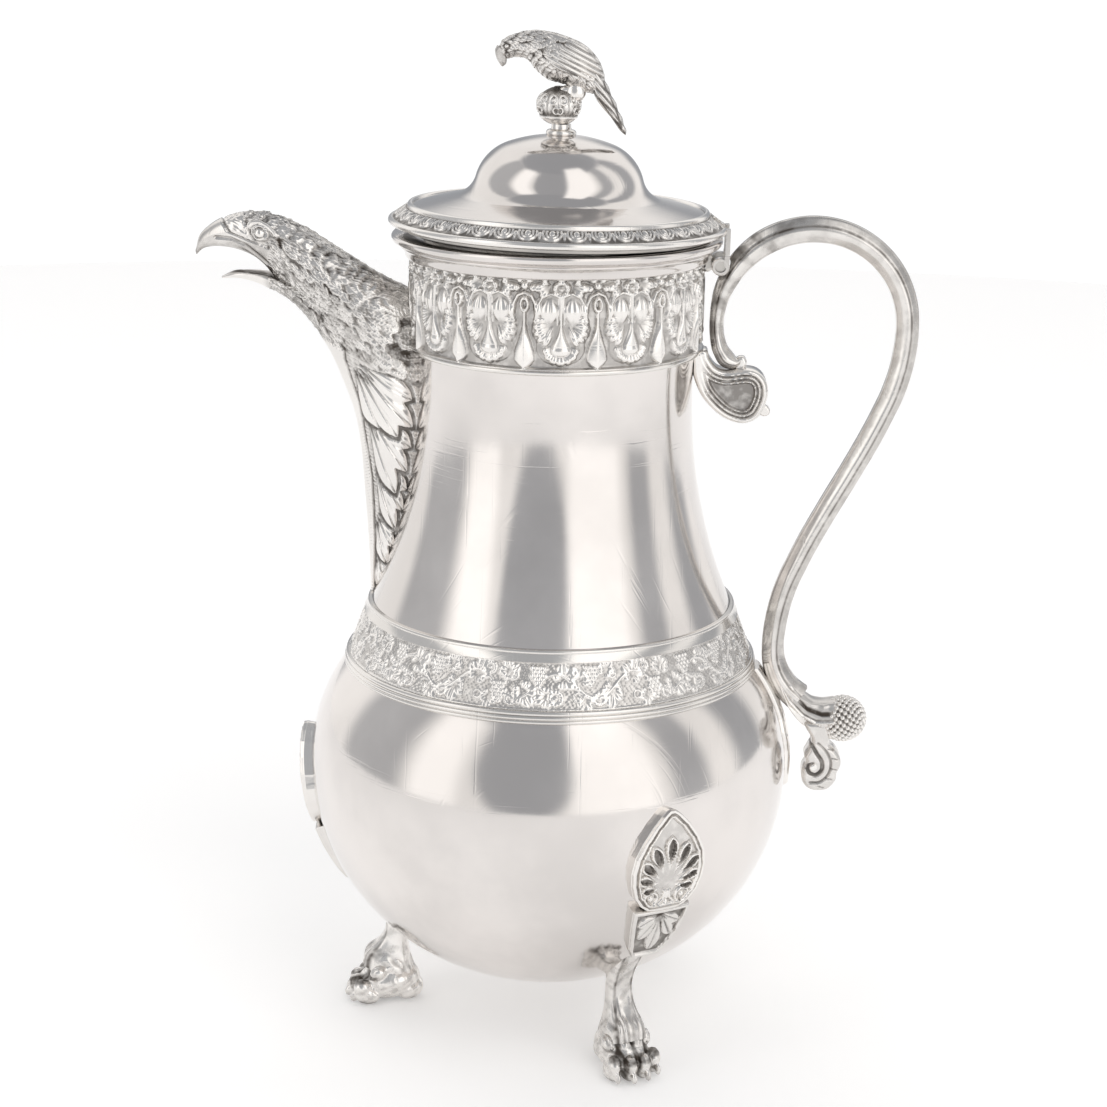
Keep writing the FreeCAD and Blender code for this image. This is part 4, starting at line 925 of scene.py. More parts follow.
def eagle_spout():
    """Both halves of the spout, with the lower beak as a trough under the upper one."""
    rows, jaw_rows, jaw_columns = 420, 120, 160
    body = tube_points(SPOUT, rows, 300, 0.85, 0.72)
    normal = grid_normals(body)
    carve, stain = spout_relief(body)
    body = body - normal * (carve * end_fade(rows, 3))[..., None]
    # cut back to the wall of the pot, so that nothing of it shows inside
    clear_wall(body, neck_radius(body[..., 2]) - 0.35, body[..., 2] < 216)

    jaw = tube_points(JAW, jaw_rows, jaw_columns, 0.85, 0.9)
    normal = grid_normals(jaw)
    share = np.linspace(0, 1, jaw_rows)[:, None]
    turn = np.linspace(0, 2 * math.pi, jaw_columns, endpoint=False)
    trough = smooth(0.15, 0.9, -np.cos(turn)) * smooth(0.25, 0.5, share) * smooth(1.0, 0.86, share)
    jaw_carve, jaw_stain = spout_relief(jaw)
    plain_jaw = smooth(-74.0, -76.5, jaw[..., 0])
    depth = jaw_carve * (1 - plain_jaw) * smooth(0, 0.1, share) + trough * 2.4 * smooth(0.95, 0.6, share)
    jaw = jaw - normal * depth[..., None]
    jaw_stain = np.maximum(jaw_stain * (1 - plain_jaw), trough)
    for side, node in ((1, "spout_left_half"), (-1, "spout_right_half")):
        halves = [half_of(points.reshape(-1, 3), tube_faces(*points.shape[:2]), stains.reshape(-1), side)
                  for points, stains in ((body, stain), (jaw, jaw_stain))]
        points, faces, stains = join(halves)
        piece(f"{node}_eagle", points, faces, "pot", CAST, [node], tarnish_and_shade=stains, sharp=180)


# ---------------------------------------------------------------- slabs cut to an outline

def closed_curve(corners, steps=8):
    """Smooth closed curve through corners."""
    corners = np.array(corners, float)
    before, after = np.roll(corners, 1, axis=0), np.roll(corners, -1, axis=0)
    far = np.roll(corners, -2, axis=0)
    t = (np.arange(steps) / steps)[:, None, None]
    curve = 0.5 * ((2 * corners) + (after - before) * t
                   + (2 * before - 5 * corners + 4 * after - far) * t ** 2
                   + (3 * corners - before - 3 * after + far) * t ** 3)
    return curve.transpose(1, 0, 2).reshape(-1, 2)


def edge_distance(points, border):
    """Distance from each point to the closed border, and the nearest place on it."""
    best = np.full(len(points), 1e9)
    nearest = np.zeros_like(points)
    for start, end in zip(border, np.roll(border, -1, axis=0)):
        span = end - start
        share = np.clip(((points - start) @ span) / max(span @ span, 1e-12), 0, 1)
        foot = start + share[:, None] * span
        far = np.hypot(*(points - foot).T)
        closer = far < best
        best = np.where(closer, far, best)
        nearest[closer] = foot[closer]
    return best, nearest


def inside_border(points, border):
    """Whether each point is inside the closed border."""
    x, y = points.T
    within = np.zeros(len(points), bool)
    for (x0, y0), (x1, y1) in zip(border, np.roll(border, -1, axis=0)):
        crosses = (y0 > y) != (y1 > y)
        reach = (x1 - x0) * (y - y0) / (y1 - y0 if y1 != y0 else 1e-12) + x0
        within ^= crosses & (x < reach)
    return within


def slab_relief(corners, half, edge, step=0.3, relief=None, smooth_curve=True):
    """Slab about y = 0 with rounded edges, and the same relief on both sides.

    relief(x, z, distance from the edge) gives how deep a point lies, and its tarnish.
    """
    border = closed_curve(corners) if smooth_curve else np.array(corners, float)
    low, high = border.min(axis=0) - step, border.max(axis=0) + step
    counts = np.ceil((high - low) / step).astype(int) + 1
    xs = low[0] + np.arange(counts[0]) * step
    zs = low[1] + np.arange(counts[1]) * step
    nodes = np.stack(np.meshgrid(xs, zs, indexing="ij"), axis=-1).reshape(-1, 2)
    distance, foot = edge_distance(nodes, border)
    within = inside_border(nodes, border)
    cells = grid_faces(counts[0], counts[1])
    kept = cells[within[cells].all(axis=1)]
    used, kept = np.unique(kept, return_inverse=True)
    kept = kept.reshape(-1, 4)
    pairs = np.concatenate([kept[:, [0, 1]], kept[:, [1, 2]], kept[:, [2, 3]], kept[:, [3, 0]]])
    keys = dict.fromkeys(map(tuple, pairs.tolist()))
    rim = [(a, b) for a, b in keys if (b, a) not in keys]
    flat = nodes[used].copy()
    gap = distance[used].copy()
    on_rim = sorted({a for pair in rim for a in pair})
    flat[on_rim] = foot[used][on_rim]
    gap[on_rim] = 0.0
    rise = np.sqrt(np.clip(1 - (1 - np.clip(gap / edge, 0, 1)) ** 2, 0, 1))
    thick = half - edge * 0.8 * (1 - rise)
    stain = np.zeros(len(flat))
    if relief is not None:
        depth, stain = relief(flat[:, 0], flat[:, 1], gap)
        thick = thick - depth
    count = len(flat)
    front = np.column_stack([flat[:, 0], -thick, flat[:, 1]])
    back = np.column_stack([flat[:, 0], thick, flat[:, 1]])
    faces = [tuple(face) for face in kept] + [tuple(face[::-1] + count) for face in kept]
    faces += [(b, a, a + count, b + count) for a, b in rim]
    return np.concatenate([front, back]), faces, np.concatenate([stain, stain])


# ---------------------------------------------------------------- handle

# middle of the handle's loop, as (x, z)
LOOP = (66.6, 195.4)


# directions and reach of the eight flats of the rod's section, and directions of its two grooves
ROD_FLATS = ((0, 0.98), (52, 0.92), (90, 1.0), (128, 0.92), (180, 0.98), (232, 0.92), (270, 1.0), (308, 0.92))
ROD_GROOVES = (71, 289)


def rod_section(columns, half_in, half_side):
    """Rounded bar section as (towards the inside of the bend, sideways) offsets."""
    turn = np.linspace(0, 2 * math.pi, columns, endpoint=False)
    power = 16.0
    total = np.zeros_like(turn)
    for degrees, reach in ROD_FLATS:
        total += np.clip(np.cos(turn - math.radians(degrees)), 0, None) ** power / reach ** power
    radius = total ** (-1 / power)
    for degrees in ROD_GROOVES:
        radius -= 0.06 * np.exp(-((np.degrees(turn) - degrees) / 4.0) ** 2)
    return half_in[:, None] * radius * np.cos(turn), half_side[:, None] * radius * np.sin(turn)


def swept_bar(path, columns=72, rows=500):
    """Bar along a path in the plane y = 0; a path row is (x, z, half width in plane, half sideways)."""
    smoothed = spline_rows(path, rows)
    way = np.gradient(smoothed[:, :2], axis=0)
    way /= np.linalg.norm(way, axis=1, keepdims=True)
    aside = np.column_stack([-way[:, 1], way[:, 0]])
    inward, sideways = rod_section(columns, smoothed[:, 2], smoothed[:, 3])
    points = np.empty((rows, columns, 3))
    points[..., 0] = smoothed[:, None, 0] + aside[:, None, 0] * inward
    points[..., 2] = smoothed[:, None, 1] + aside[:, None, 1] * inward
    points[..., 1] = sideways
    return points


# the rod's half widths, in the plane of the handle and sideways, at bearings round the loop
LOOP_STATIONS = (
    (188, 1.95, 2.6), (180, 1.9, 2.55), (170, 2.1, 2.6), (160, 2.5, 2.7), (150, 2.8, 2.85), (140, 3.1, 3.0),
    (125, 3.4, 3.1), (110, 3.5, 3.15), (90, 3.5, 3.2), (70, 3.4, 3.2), (50, 3.3, 3.15), (30, 3.2, 3.1),
    (12, 3.1, 3.1), (0, 3.05, 3.1),
)
# where the sweep under the loop turns in, and its radius; and the radius of the hook at its foot
HEEL, SWEEP, HOOK = (60.2, 107.0), 55.0, 17.0


def handle_path():
    """Middle line of the rod: limb, loop, long sweep and heel, then the hook under it."""
    rows = [(49.0, 185.9, 0.5, 1.3), (47.6, 185.0, 1.5, 2.4), (45.4, 185.4, 2.3, 3.0),
            (43.3, 188.0, 2.2, 2.9)]
    for degrees, half, side in LOOP_STATIONS:
        turn = math.radians(degrees)
        reach = 24.8 + 0.15 * math.cos(turn)
        rows.append((LOOP[0] + reach * math.cos(turn), LOOP[1] + reach * math.sin(turn), half, side))

    def bend(start, radius, degrees, way):
        turn = math.radians(degrees)
        return start[0] + way[0] * radius * (1 - math.cos(turn)), start[1] + way[1] * radius * math.sin(turn)

    right = (LOOP[0] + 25.0, LOOP[1])
    rows += [(*bend(right, SWEEP, degrees, (-1, -1)), 3.1, 3.1) for degrees in (6, 13, 20, 26)]
    rows += [(*bend(HEEL, SWEEP, degrees, (1, 1)), 3.05, 3.05) for degrees in (26, 20, 13, 6, 0)]
    for degrees in (14, 28, 42, 55):
        grow = degrees / 55.0
        rows.append((*bend(HEEL, HOOK, degrees, (1, -1)), 3.05 + 0.9 * grow, 3.05 + 1.0 * grow))
    return rows


def handle_rod():
    """Bar of the handle, with tarnish in its grooves, and darker along the inside of the loop and a little
    along its outside.
    """
    rows, columns, clearance = 620, 72, 2.75
    bar = swept_bar(handle_path(), columns, rows)
    worn = 0.05 * noise(bar, 9.0, 21, 2)
    bar = bar - grid_normals(bar) * np.clip(worn, 0, 0.06)[..., None]
    # soldered round the centre knuckle of the hinge, and clear of the knuckles beside it
    across, up = bar[..., 0] - HINGE[0], bar[..., 2] - HINGE[1]
    far = np.hypot(across, up)
    push = np.where(far < clearance, clearance / np.maximum(far, 0.2), 1.0)
    bar[..., 0] = HINGE[0] + across * push
    bar[..., 2] = HINGE[1] + up * push
    turn = np.degrees(np.linspace(0, 2 * math.pi, columns, endpoint=False))[None, :]
    grooves = highest(*(np.exp(-((turn - degrees) / 7.0) ** 2) for degrees in ROD_GROOVES))
    away = np.minimum(turn, 360 - turn)
    inner, outer = smooth(70, 50, away), smooth(108, 128, away)
    root = smooth(66, 50, bar[..., 0]) * smooth(180, 200, bar[..., 2])
    cloudy = smooth(-0.5, 0.8, noise(bar, 6.0, 31, 3))
    stain = 0.75 * grooves + 0.26 * inner + 0.10 * outer + (0.40 * root + 0.16) * cloudy
    piece("handle_rod_bar", bar.reshape(-1, 3), tube_faces(rows, columns), "pot", BRIGHT, ["handle_rod"],
          tarnish_and_shade=stain.reshape(-1), sharp=60, slot="polished_silver")


def comma_relief(x, _, gap):
    """Two raised ridges that follow the comma's edge, with a sunk panel inside."""
    body = smooth(37.5, 41.0, x)
    first = np.clip(1 - ((gap - 2.1) / 0.42) ** 2, 0, 1)
    second = np.clip(1 - ((gap - 3.2) / 0.36) ** 2, 0, 1)
    sunk = smooth(1.0, 1.6, gap) * 0.75 + smooth(3.4, 3.9, gap) * 0.45
    depth = sunk - 0.62 * np.maximum(first, second)
    stain = smooth(1.1, 1.6, gap) * (1 - np.maximum(first, second)) * 0.7
    return depth * body, stain * body


COMMA = (
    (35.9, 188.0), (35.9, 184.6), (36.4, 181.2), (38.6, 176.3), (42.6, 172.0), (46.4, 169.8), (50.1, 169.25),
    (53.3, 170.7), (55.2, 174.0), (55.9, 177.4), (55.3, 180.6), (53.2, 182.9), (50.2, 183.6), (47.0, 183.2),
    (44.6, 183.0), (42.2, 183.9), (40.4, 186.2), (39.4, 188.4),
)
NUB = ((47.4, 183.0), (46.9, 185.0), (47.9, 186.4), (49.4, 186.5), (50.2, 185.2), (49.6, 183.2))
PEG = ((53.4, 173.2), (54.0, 171.2), (55.6, 170.7), (56.7, 171.5), (56.6, 172.8), (55.2, 173.8))


def handle_scroll():
    """Comma under the loop, hollowed to the wall of the pot, with its nub and peg."""
    points, faces, stain = slab_relief(COMMA, 4.2, 1.3, 0.25, comma_relief)
    clear_wall(points, np.where(points[:, 2] < 187.0, neck_radius(points[:, 2]), 38.0) + 0.02)
    points, faces, stain = join([(points, faces, stain), slab_relief(NUB, 1.6, 0.8, 0.25)])
    piece("handle_scroll_comma", points, faces, "pot", CAST, ["handle_upper_scroll"], tarnish_and_shade=stain, sharp=50)
    points, faces, stain = slab_relief(PEG, 1.0, 0.5, 0.2)
    piece("handle_scroll_peg", points, faces, "pot", CAST, ["handle_scroll_pin"], tarnish_and_shade=stain)


def berry():
    """Ball set with even rows of small pearls, which spiral from one end to the other."""
    rows, columns, pearls, pearl_degrees = 180, 360, 230, 6.9
    tilt = np.linspace(0.02, math.pi - 0.02, rows)[:, None]
    turn = np.linspace(0, 2 * math.pi, columns, endpoint=False)[None, :]
    way = np.stack([np.cos(tilt) * np.ones_like(turn), np.sin(tilt) * np.cos(turn),
                    np.sin(tilt) * np.sin(turn)], -1)
    number = np.arange(pearls) + 0.5
    lift = 1 - 2 * number / pearls
    spin = number * math.pi * (1 + 5 ** 0.5)
    level = np.sqrt(1 - lift ** 2)
    seeds = np.stack([lift, level * np.cos(spin), level * np.sin(spin)], -1)
    near = np.clip((way.reshape(-1, 3) @ seeds.T).max(axis=1), -1, 1).reshape(rows, columns)
    pearl = np.sqrt(np.clip(1 - (np.degrees(np.arccos(near)) / pearl_degrees) ** 2, 0, 1))
    reach = 5.75 + 0.82 * pearl
    points = way * reach[..., None] * np.array([1.0, 1.0, 0.98]) + np.array([80.0, 0, 87.2])
    stain = 0.9 * (1 - smooth(0.1, 0.55, pearl))
    piece("handle_berry_pearled", points.reshape(-1, 3), tube_faces(rows, columns), "pot", CAST,
          ["handle_berry"], tarnish_and_shade=stain.reshape(-1), sharp=180)


# (x, z) along the panel's middle, which drops and then runs out level, and its (x, half width)
CALYX_LINE = ((62.5, 97.4), (65.5, 91.6), (69.0, 87.6), (72.5, 85.2), (76.0, 84.9), (79.5, 85.6))
CALYX_HALF = ((62.5, 0.2), (65.0, 0.7), (69.0, 1.3), (73.0, 2.2), (77.0, 2.6), (79.2, 1.6), (79.8, 0.0))
# (x, z) along the hollow leaf above the panel, and along its lip
CALYX_HOLLOW = ((66.0, 94.4), (70.0, 91.0), (74.0, 89.7), (77.0, 89.9))
CALYX_LIP = ((65.2, 97.0), (68.0, 93.6), (71.0, 91.9), (74.4, 91.4), (77.4, 92.0))


def calyx_relief(points):
    """Teardrop panel with a raised rim, and the hollow leaf above it, in side view."""
    x, z = points[..., 0], points[..., 2]
    line_z = look_up(x, CALYX_LINE)
    half = look_up(x, CALYX_HALF)
    apart = np.abs(z - line_z)
    panel = smooth(0.3, -0.3, apart - (half - 0.55)) * (half > 0.3)
    rim = np.clip(1 - ((apart - half) / 0.38) ** 2, 0, 1) * (half > 0.15)
    hollow = smooth(0.9, 0.3, np.abs(z - look_up(x, CALYX_HOLLOW)))
    hollow = hollow * smooth(66.0, 69.5, x) * smooth(77.2, 75.6, x)
    lip = curve_line(x, z, CALYX_LIP, 0.4)
    depth = 0.8 * panel + 0.6 * hollow - 0.6 * rim - 0.4 * lip
    ribs = 0.06 * np.cos(2 * math.pi * x / 0.8) * panel
    edge = smooth(1.2, 0.5, apart - half) * smooth(0.25, 0.55, apart - half) * (half > 0.15)
    outside = smooth(0.3, 1.1, apart - half) * (x > 66)
    return depth + ribs, np.clip(0.7 * hollow + 0.15 * panel + 0.8 * edge + 0.3 * outside, 0, 1)


CALYX = (
    (59.9, 100.8, 63.9, 102.2, 2.0), (61.1, 96.4, 65.6, 99.2, 3.1), (63.9, 91.9, 67.8, 95.9, 3.8),
    (67.3, 87.8, 70.5, 93.6, 4.5), (71.1, 84.6, 73.0, 92.4, 5.0), (74.9, 82.6, 75.9, 92.4, 5.2),
    (77.8, 82.2, 78.4, 92.7, 4.9), (80.0, 83.6, 80.2, 90.8, 3.4), (81.0, 85.6, 81.0, 88.4, 1.2),
)


def calyx():
    """Leafy cup that holds the berry."""
    rows, columns = 150, 160
    cup = tube_points(CALYX, rows, columns, 0.75)
    depth, stain = calyx_relief(cup)
    fade = smooth(0, 6, np.arange(rows))[:, None]
    cup = cup - grid_normals(cup) * (depth * fade)[..., None]
    piece("handle_calyx_leaves", cup.reshape(-1, 3), tube_faces(rows, columns), "pot", CAST,
          ["handle_calyx"], tarnish_and_shade=stain.reshape(-1), sharp=180)


# (x, z) along the groove that winds round the eye and along the leaf's outer line; ends of its veins
CURL_GROOVE = ((71.6, 80.6), (73.3, 77.9), (74.7, 75.6), (74.6, 73.2), (72.9, 71.9), (71.3, 72.6),
               (70.9, 74.3), (72.2, 75.0))
CURL_SWEEP = ((73.4, 81.0), (75.8, 78.6), (77.1, 75.4), (76.4, 72.0), (74.2, 69.9), (71.6, 69.6))
CURL_VEINS = ((77.8, 79.0), (78.9, 76.4), (78.8, 73.4), (77.6, 70.6), (75.4, 68.2))


def curl_relief(x, z, _):
    """Scroll that winds round a small eye, with a leaf on its outer side."""
    groove = curve_line(x, z, spline_rows(CURL_GROOVE, 40), 0.6)
    outer = curve_line(x, z, spline_rows(CURL_SWEEP, 30), 0.4)
    veins = np.zeros_like(x)
    for at in CURL_VEINS:
        veins = highest(veins, line(x, z, at, (at[0] - 1.6, at[1] + 0.4), 0.22))
    eye = dot(x, z, (72.4, 74.2), 1.0)
    depth = 0.9 * groove + 0.45 * outer + 0.3 * veins - 0.5 * eye * (groove > 0.1)
    return np.clip(depth, 0, 1.6), np.clip(0.65 * groove + 0.5 * outer + 0.5 * veins + 0.22 - eye, 0, 1)


CURL = (
    (69.6, 86.6), (71.6, 82.0), (71.0, 79.4), (69.9, 77.0), (70.4, 75.2), (69.4, 73.0), (69.6, 69.8),
    (71.4, 67.6), (73.9, 67.05), (76.6, 67.6), (78.6, 70.0), (78.9, 72.2), (79.75, 74.2), (79.7, 76.4),
    (78.4, 78.7), (76.6, 80.6), (76.4, 84.0), (75.6, 86.6),
)


def lower_curl():
    """Leaf that curls back under the calyx."""
    points, faces, stain = slab_relief(CURL, 4.0, 1.6, 0.22, curl_relief)
    piece("handle_lower_curl_leaf", points, faces, "pot", CAST, ["handle_lower_curl"], tarnish_and_shade=stain,
          sharp=60)


# (height, half width) of the strap, and the side line of its leaf
STRAP = ((67.0, 0.5), (69.0, 1.5), (73.0, 2.2), (78.0, 2.0), (80.5, 3.6), (84.0, 4.9), (87.5, 4.0),
         (92.0, 4.0), (101.9, 4.2))
STRAP_LEAF = ((0.9, 101.5), (1.1, 90.0), (2.9, 86.2), (3.4, 83.2), (2.0, 82.4))


def escutcheon():
    """Leafy strap on the belly under the heel."""
    rows, columns = 170, 60
    share = np.linspace(-1, 1, columns)[None, :]
    height = np.linspace(STRAP[0][0], STRAP[-1][0], rows)[:, None] * np.ones_like(share)
    side = share * look_up(height, STRAP)
    leaf = curve_line(np.abs(side), height, STRAP_LEAF, 0.5)
    rib = np.exp(-(side / 0.45) ** 2)
    proud = 0.35 + 1.1 * np.sqrt(np.clip(1 - share ** 2, 0, 1)) - 0.3 * leaf
    proud = proud - 0.25 * (1 - rib) * (np.abs(share) < 0.6)
    proud = proud * smooth(66.9, 68.2, height)
    reach = belly_radius(height)
    top = np.stack([np.sqrt((reach + proud) ** 2 - side ** 2), side, height], -1)
    under = np.stack([np.sqrt((reach - 0.15) ** 2 - side ** 2), side, height], -1)
    sheet = np.concatenate([top, under[:, ::-1]], axis=1)
    stain = np.concatenate([0.8 * leaf, np.zeros_like(leaf)], axis=1)
    piece("handle_escutcheon_leaf", sheet.reshape(-1, 3), tube_faces(*sheet.shape[:2]), "pot", CAST,
          ["handle_escutcheon"], tarnish_and_shade=stain.reshape(-1), sharp=50)


# ---------------------------------------------------------------- feet

# name and bearing of each foot, in degrees from +X
FEET = (("front", -60.0), ("back", 60.0), ("spout", 180.0))


def turned(points, bearing):
    """Turns points from the foot's own frame, +X outward, to its bearing."""
    turn = math.radians(bearing)
    points = np.asarray(points, float).reshape(-1, 3)
    spun = points.copy()
    spun[:, 0] = points[:, 0] * math.cos(turn) - points[:, 1] * math.sin(turn)
    spun[:, 1] = points[:, 0] * math.sin(turn) + points[:, 1] * math.cos(turn)
    return spun


def belly_normal(height):
    """Outward and upward share of the belly's normal at a height."""
    slope = (belly_radius(height + 0.1) - belly_radius(height - 0.1)) / 0.2
    length = np.sqrt(1 + slope ** 2)
    return 1 / length, -slope / length


def applied_plate(low, high, half_at, proud, relief, rows, columns):
    """Plate on the belly; relief(side, height, half width) gives 0 to 1, and the tarnish."""
    height = np.linspace(low, high, rows)[:, None]
    share = np.sin(np.linspace(-math.pi / 2, math.pi / 2, columns))[None, :]
    half = half_at(height)
    side = share * half
    level = np.ones_like(side) * height
    raised, stain = relief(side, level, half * np.ones_like(side))
    outward_share, up_share = belly_normal(level)

    def surface(lift):
        reach = belly_radius(level) + lift * outward_share
        ahead = np.sqrt(np.clip(reach ** 2 - side ** 2, 0, None))
        return np.stack([ahead, side, level + lift * up_share], -1)

    top = surface(proud * raised)
    under = surface(np.full_like(side, -0.2))
    sheet = np.concatenate([top, under[:, ::-1]], axis=1)
    stain = np.concatenate([stain, np.zeros_like(stain)], axis=1)
    return sheet.reshape(-1, 3), tube_faces(rows, sheet.shape[1]), stain.reshape(-1)


# (height, half width) of the palmette plate and of the panel under it
PLATE = ((54.5, 3.0), (55.2, 5.6), (56.6, 7.4), (59.0, 9.2), (62.5, 10.3), (66.0, 10.6),
         (70.0, 9.9), (74.0, 7.9), (77.5, 5.3), (80.0, 2.8), (81.2, 1.3), (81.5, 0.5))
PANEL = ((38.5, 2.6), (39.3, 4.3), (41.5, 5.6), (46.0, 6.9), (50.0, 7.7), (54.6, 8.2))


def plate_half(height):
    """Half width of the palmette plate."""
    return look_up(height, PLATE)


def panel_half(height):
    """Half width of the panel under the plate."""
    return look_up(height, PANEL)


def plate_edge(side, height, half):
    """Roughly how far a point is from the plate's border."""
    slope = (plate_half(height + 0.3) - plate_half(height - 0.3)) / 0.6
    aside = (half - np.abs(side)) / np.sqrt(1 + slope ** 2)
    return np.minimum(aside, np.minimum(PLATE[-1][0] - height, height - PLATE[0][0]))


# (direction, length, width) of the palmette's petals on one side, and of the panel's leaves
PALMETTE = ((90, 14.0, 1.9), (66, 13.0, 1.75), (43, 11.6, 1.65), (20, 9.6, 1.5), (-4, 7.6, 1.35))
PANEL_LEAVES = ((-90, 12.6, 2.0), (-58, 9.2, 1.7), (-122, 9.2, 1.7), (-28, 7.0, 1.5), (-152, 7.0, 1.5))


def plate_relief(side, height, half):
    """Moulded rim, palmette and scrolls of the plate: how high it stands, and its tarnish."""
    gap = plate_edge(side, height, half)
    rim = smooth(0.0, 0.35, gap)
    groove = np.clip(1 - ((gap - 1.25) / 0.3) ** 2, 0, 1)
    inner = np.clip(1 - ((gap - 1.85) / 0.35) ** 2, 0, 1)
    field = smooth(2.0, 2.5, gap)
    level = 0.62 + 0.30 * rim * (gap < 1.7) - 0.22 * groove + 0.12 * inner * (gap > 1.3)
    level = np.where(gap > 1.7, 0.86 - 0.24 * field + 0.08 * inner, level)
    aside = np.abs(side)
    shape, hollow = np.zeros_like(side), np.zeros_like(side)
    for degrees, length, width in PALMETTE:
        petal_height = petal(aside, height, (0.0, 61.2), degrees, length, width, 2.7)
        cup = petal(aside, height, (0.0, 61.2), degrees, length * 0.95, width * 0.62, 2.9)
        shape = highest(shape, petal_height)
        hollow = highest(hollow, cup * smooth(2.6, 4.4, np.hypot(aside, height - 61.2)))
    scroll = highest(ring(aside, height, (4.5, 58.3), 1.85, 0.5), dot(aside, height, (4.5, 58.3), 0.85))
    stalk = curve_line(aside, height, [(4.2, 56.4), (2.4, 56.6), (1.0, 58.0), (0.6, 60.0)], 0.5)
    scroll = highest(scroll, stalk)
    bud = highest(petal(aside, height, (0, 60.4), -90, 3.6, 1.0, 0.9), dot(aside, height, (0.0, 56.9), 0.8))
    raised = highest(smooth(0.0, 0.5, shape) * 0.95, scroll * 0.9, bud * 0.85)
    level = np.where(field > 0.3, level + 0.30 * raised - 0.40 * smooth(0.1, 0.6, hollow), level)
    stain = highest(0.85 * smooth(0.15, 0.6, hollow), 0.5 * groove,
                    0.32 * (field > 0.4) * (1 - smooth(0.0, 0.45, raised)))
    return level, stain


def panel_relief(side, height, half):
    """Rim and hanging leaf of the panel: how high it stands, and its tarnish."""
    gap = np.minimum(np.minimum(half - np.abs(side), height - 38.5), 54.6 - height)
    rim = smooth(0.0, 0.3, gap) * smooth(1.25, 0.95, gap)
    leaf = np.zeros_like(side)
    vein = line(side, height, (0, 54.0), (0, 41.0), 0.28)
    for degrees, length, width in PANEL_LEAVES:
        leaf = highest(leaf, petal(side, height, (0, 52.8), degrees, length, width, 1.7))
        turn = math.radians(degrees)
        end = (length * 0.9 * math.cos(turn), 52.8 + length * 0.9 * math.sin(turn))
        vein = highest(vein, line(side, height, (0, 52.8), end, 0.24))
    level = 0.66 + 0.34 * rim + 0.26 * smooth(0.0, 0.4, leaf) * (gap > 1.2) * (1 - 0.55 * vein)
    stain = 0.65 * (gap > 1.2) * (1 - smooth(0.0, 0.3, leaf)) + 0.5 * vein * (gap > 1.2)
    return level, np.clip(stain + 0.08, 0, 1)


# front x, z, back x, z, half width, from the belly down to the paw, in the foot's own frame
LEG = (
    (54.6, 41.6, 50.0, 44.0, 4.6), (51.9, 37.4, 45.0, 41.0, 4.1), (49.6, 33.0, 41.4, 35.0, 3.7),
    (46.6, 28.0, 39.2, 28.0, 3.35), (45.3, 23.8, 38.7, 22.6, 3.35), (45.8, 20.4, 38.8, 18.0, 3.6),
    (47.8, 17.4, 38.0, 13.0, 4.3), (50.6, 14.6, 36.9, 8.6, 5.4), (51.5, 11.0, 37.4, 5.4, 5.6),
)


def leg_points():
    """Leg from the panel down to the paw: sunk in front, and furred above the paw."""
    rows, columns = 150, 144
    leg = tube_points(LEG, rows, columns, 0.55)
    normal = grid_normals(leg)
    share = np.linspace(0, 1, rows)[:, None]
    turn = np.linspace(0, 2 * math.pi, columns, endpoint=False)[None, :]
    facing = np.cos(turn)
    side = np.abs(leg[..., 1]) / np.interp(share, np.linspace(0, 1, len(LEG)), [row[4] for row in LEG])
    front = smooth(0.3, 0.75, facing) * smooth(0.02, 0.1, share)
    sunk = front * smooth(0.82, 0.68, side) * smooth(0.9, 0.7, share)
    fur = smooth(0.74, 0.9, share) * (0.5 + 0.5 * np.cos(leg[..., 1] * 4.2 + noise(leg, 4.0, 41, 1)))
    depth = 0.42 * sunk + 0.35 * fur
    leg = leg - normal * depth[..., None]
    rim_line = front * np.exp(-((side - 0.75) / 0.07) ** 2)
    # painted shade at the top of the leg, where it tucks in under the panel
    painted_shade_under_panel = smooth(0.16, 0.02, share)
    cloudy = smooth(-0.4, 0.8, noise(leg, 3.5, 42, 3))
    # darkening of the leg: tarnish in the fur and grooves, cloudy patches, and the painted shade under the
    # panel
    stain = np.clip(0.5 * fur + 0.12 * sunk + 0.5 * rim_line + 0.4 * painted_shade_under_panel + 0.28 * cloudy, 0, 1)
    return leg.reshape(-1, 3), tube_faces(rows, columns), stain.reshape(-1)


def lump(centre, radii, tilt=0.0, rows=28, columns=40):
    """Ball stretched along each axis and tilted about Y."""
    fall = np.linspace(0.03, math.pi - 0.03, rows)[:, None]
    turn = np.linspace(0, 2 * math.pi, columns, endpoint=False)[None, :]
    points = np.stack([np.sin(fall) * np.cos(turn) * radii[0], np.sin(fall) * np.sin(turn) * radii[1],
                       np.cos(fall) * np.ones_like(turn) * radii[2]], -1).reshape(-1, 3)
    angle = math.radians(tilt)
    spun = points.copy()
    spun[:, 0] = points[:, 0] * math.cos(angle) + points[:, 2] * math.sin(angle)
    spun[:, 2] = -points[:, 0] * math.sin(angle) + points[:, 2] * math.cos(angle)
    return spun + np.array(centre), tube_faces(rows, columns), 0.0


def fused(parts, voxel, smoothing):
    """Fuses overlapping closed forms into one skin of even quads; gives points, faces and normals."""
    points, faces, _ = join(parts)
    mesh = make_mesh("fused", points * MM, faces)
    tidy_mesh(mesh)
    made = add_object("fused", mesh)
    remesh = made.modifiers.new("remesh", "REMESH")
    remesh.mode = "VOXEL"
    remesh.voxel_size = voxel * MM
    relax = made.modifiers.new("relax", "SMOOTH")
    relax.factor = 0.5
    relax.iterations = smoothing
    apply_modifiers(made)
    mesh = made.data
    points, normals = vertex_rows(mesh, "co") / MM, vertex_rows(mesh, "normal")
    kept = [tuple(polygon.vertices) for polygon in mesh.polygons]
    bpy.data.objects.remove(made)
    bpy.data.meshes.remove(mesh)
    return points, kept, normals


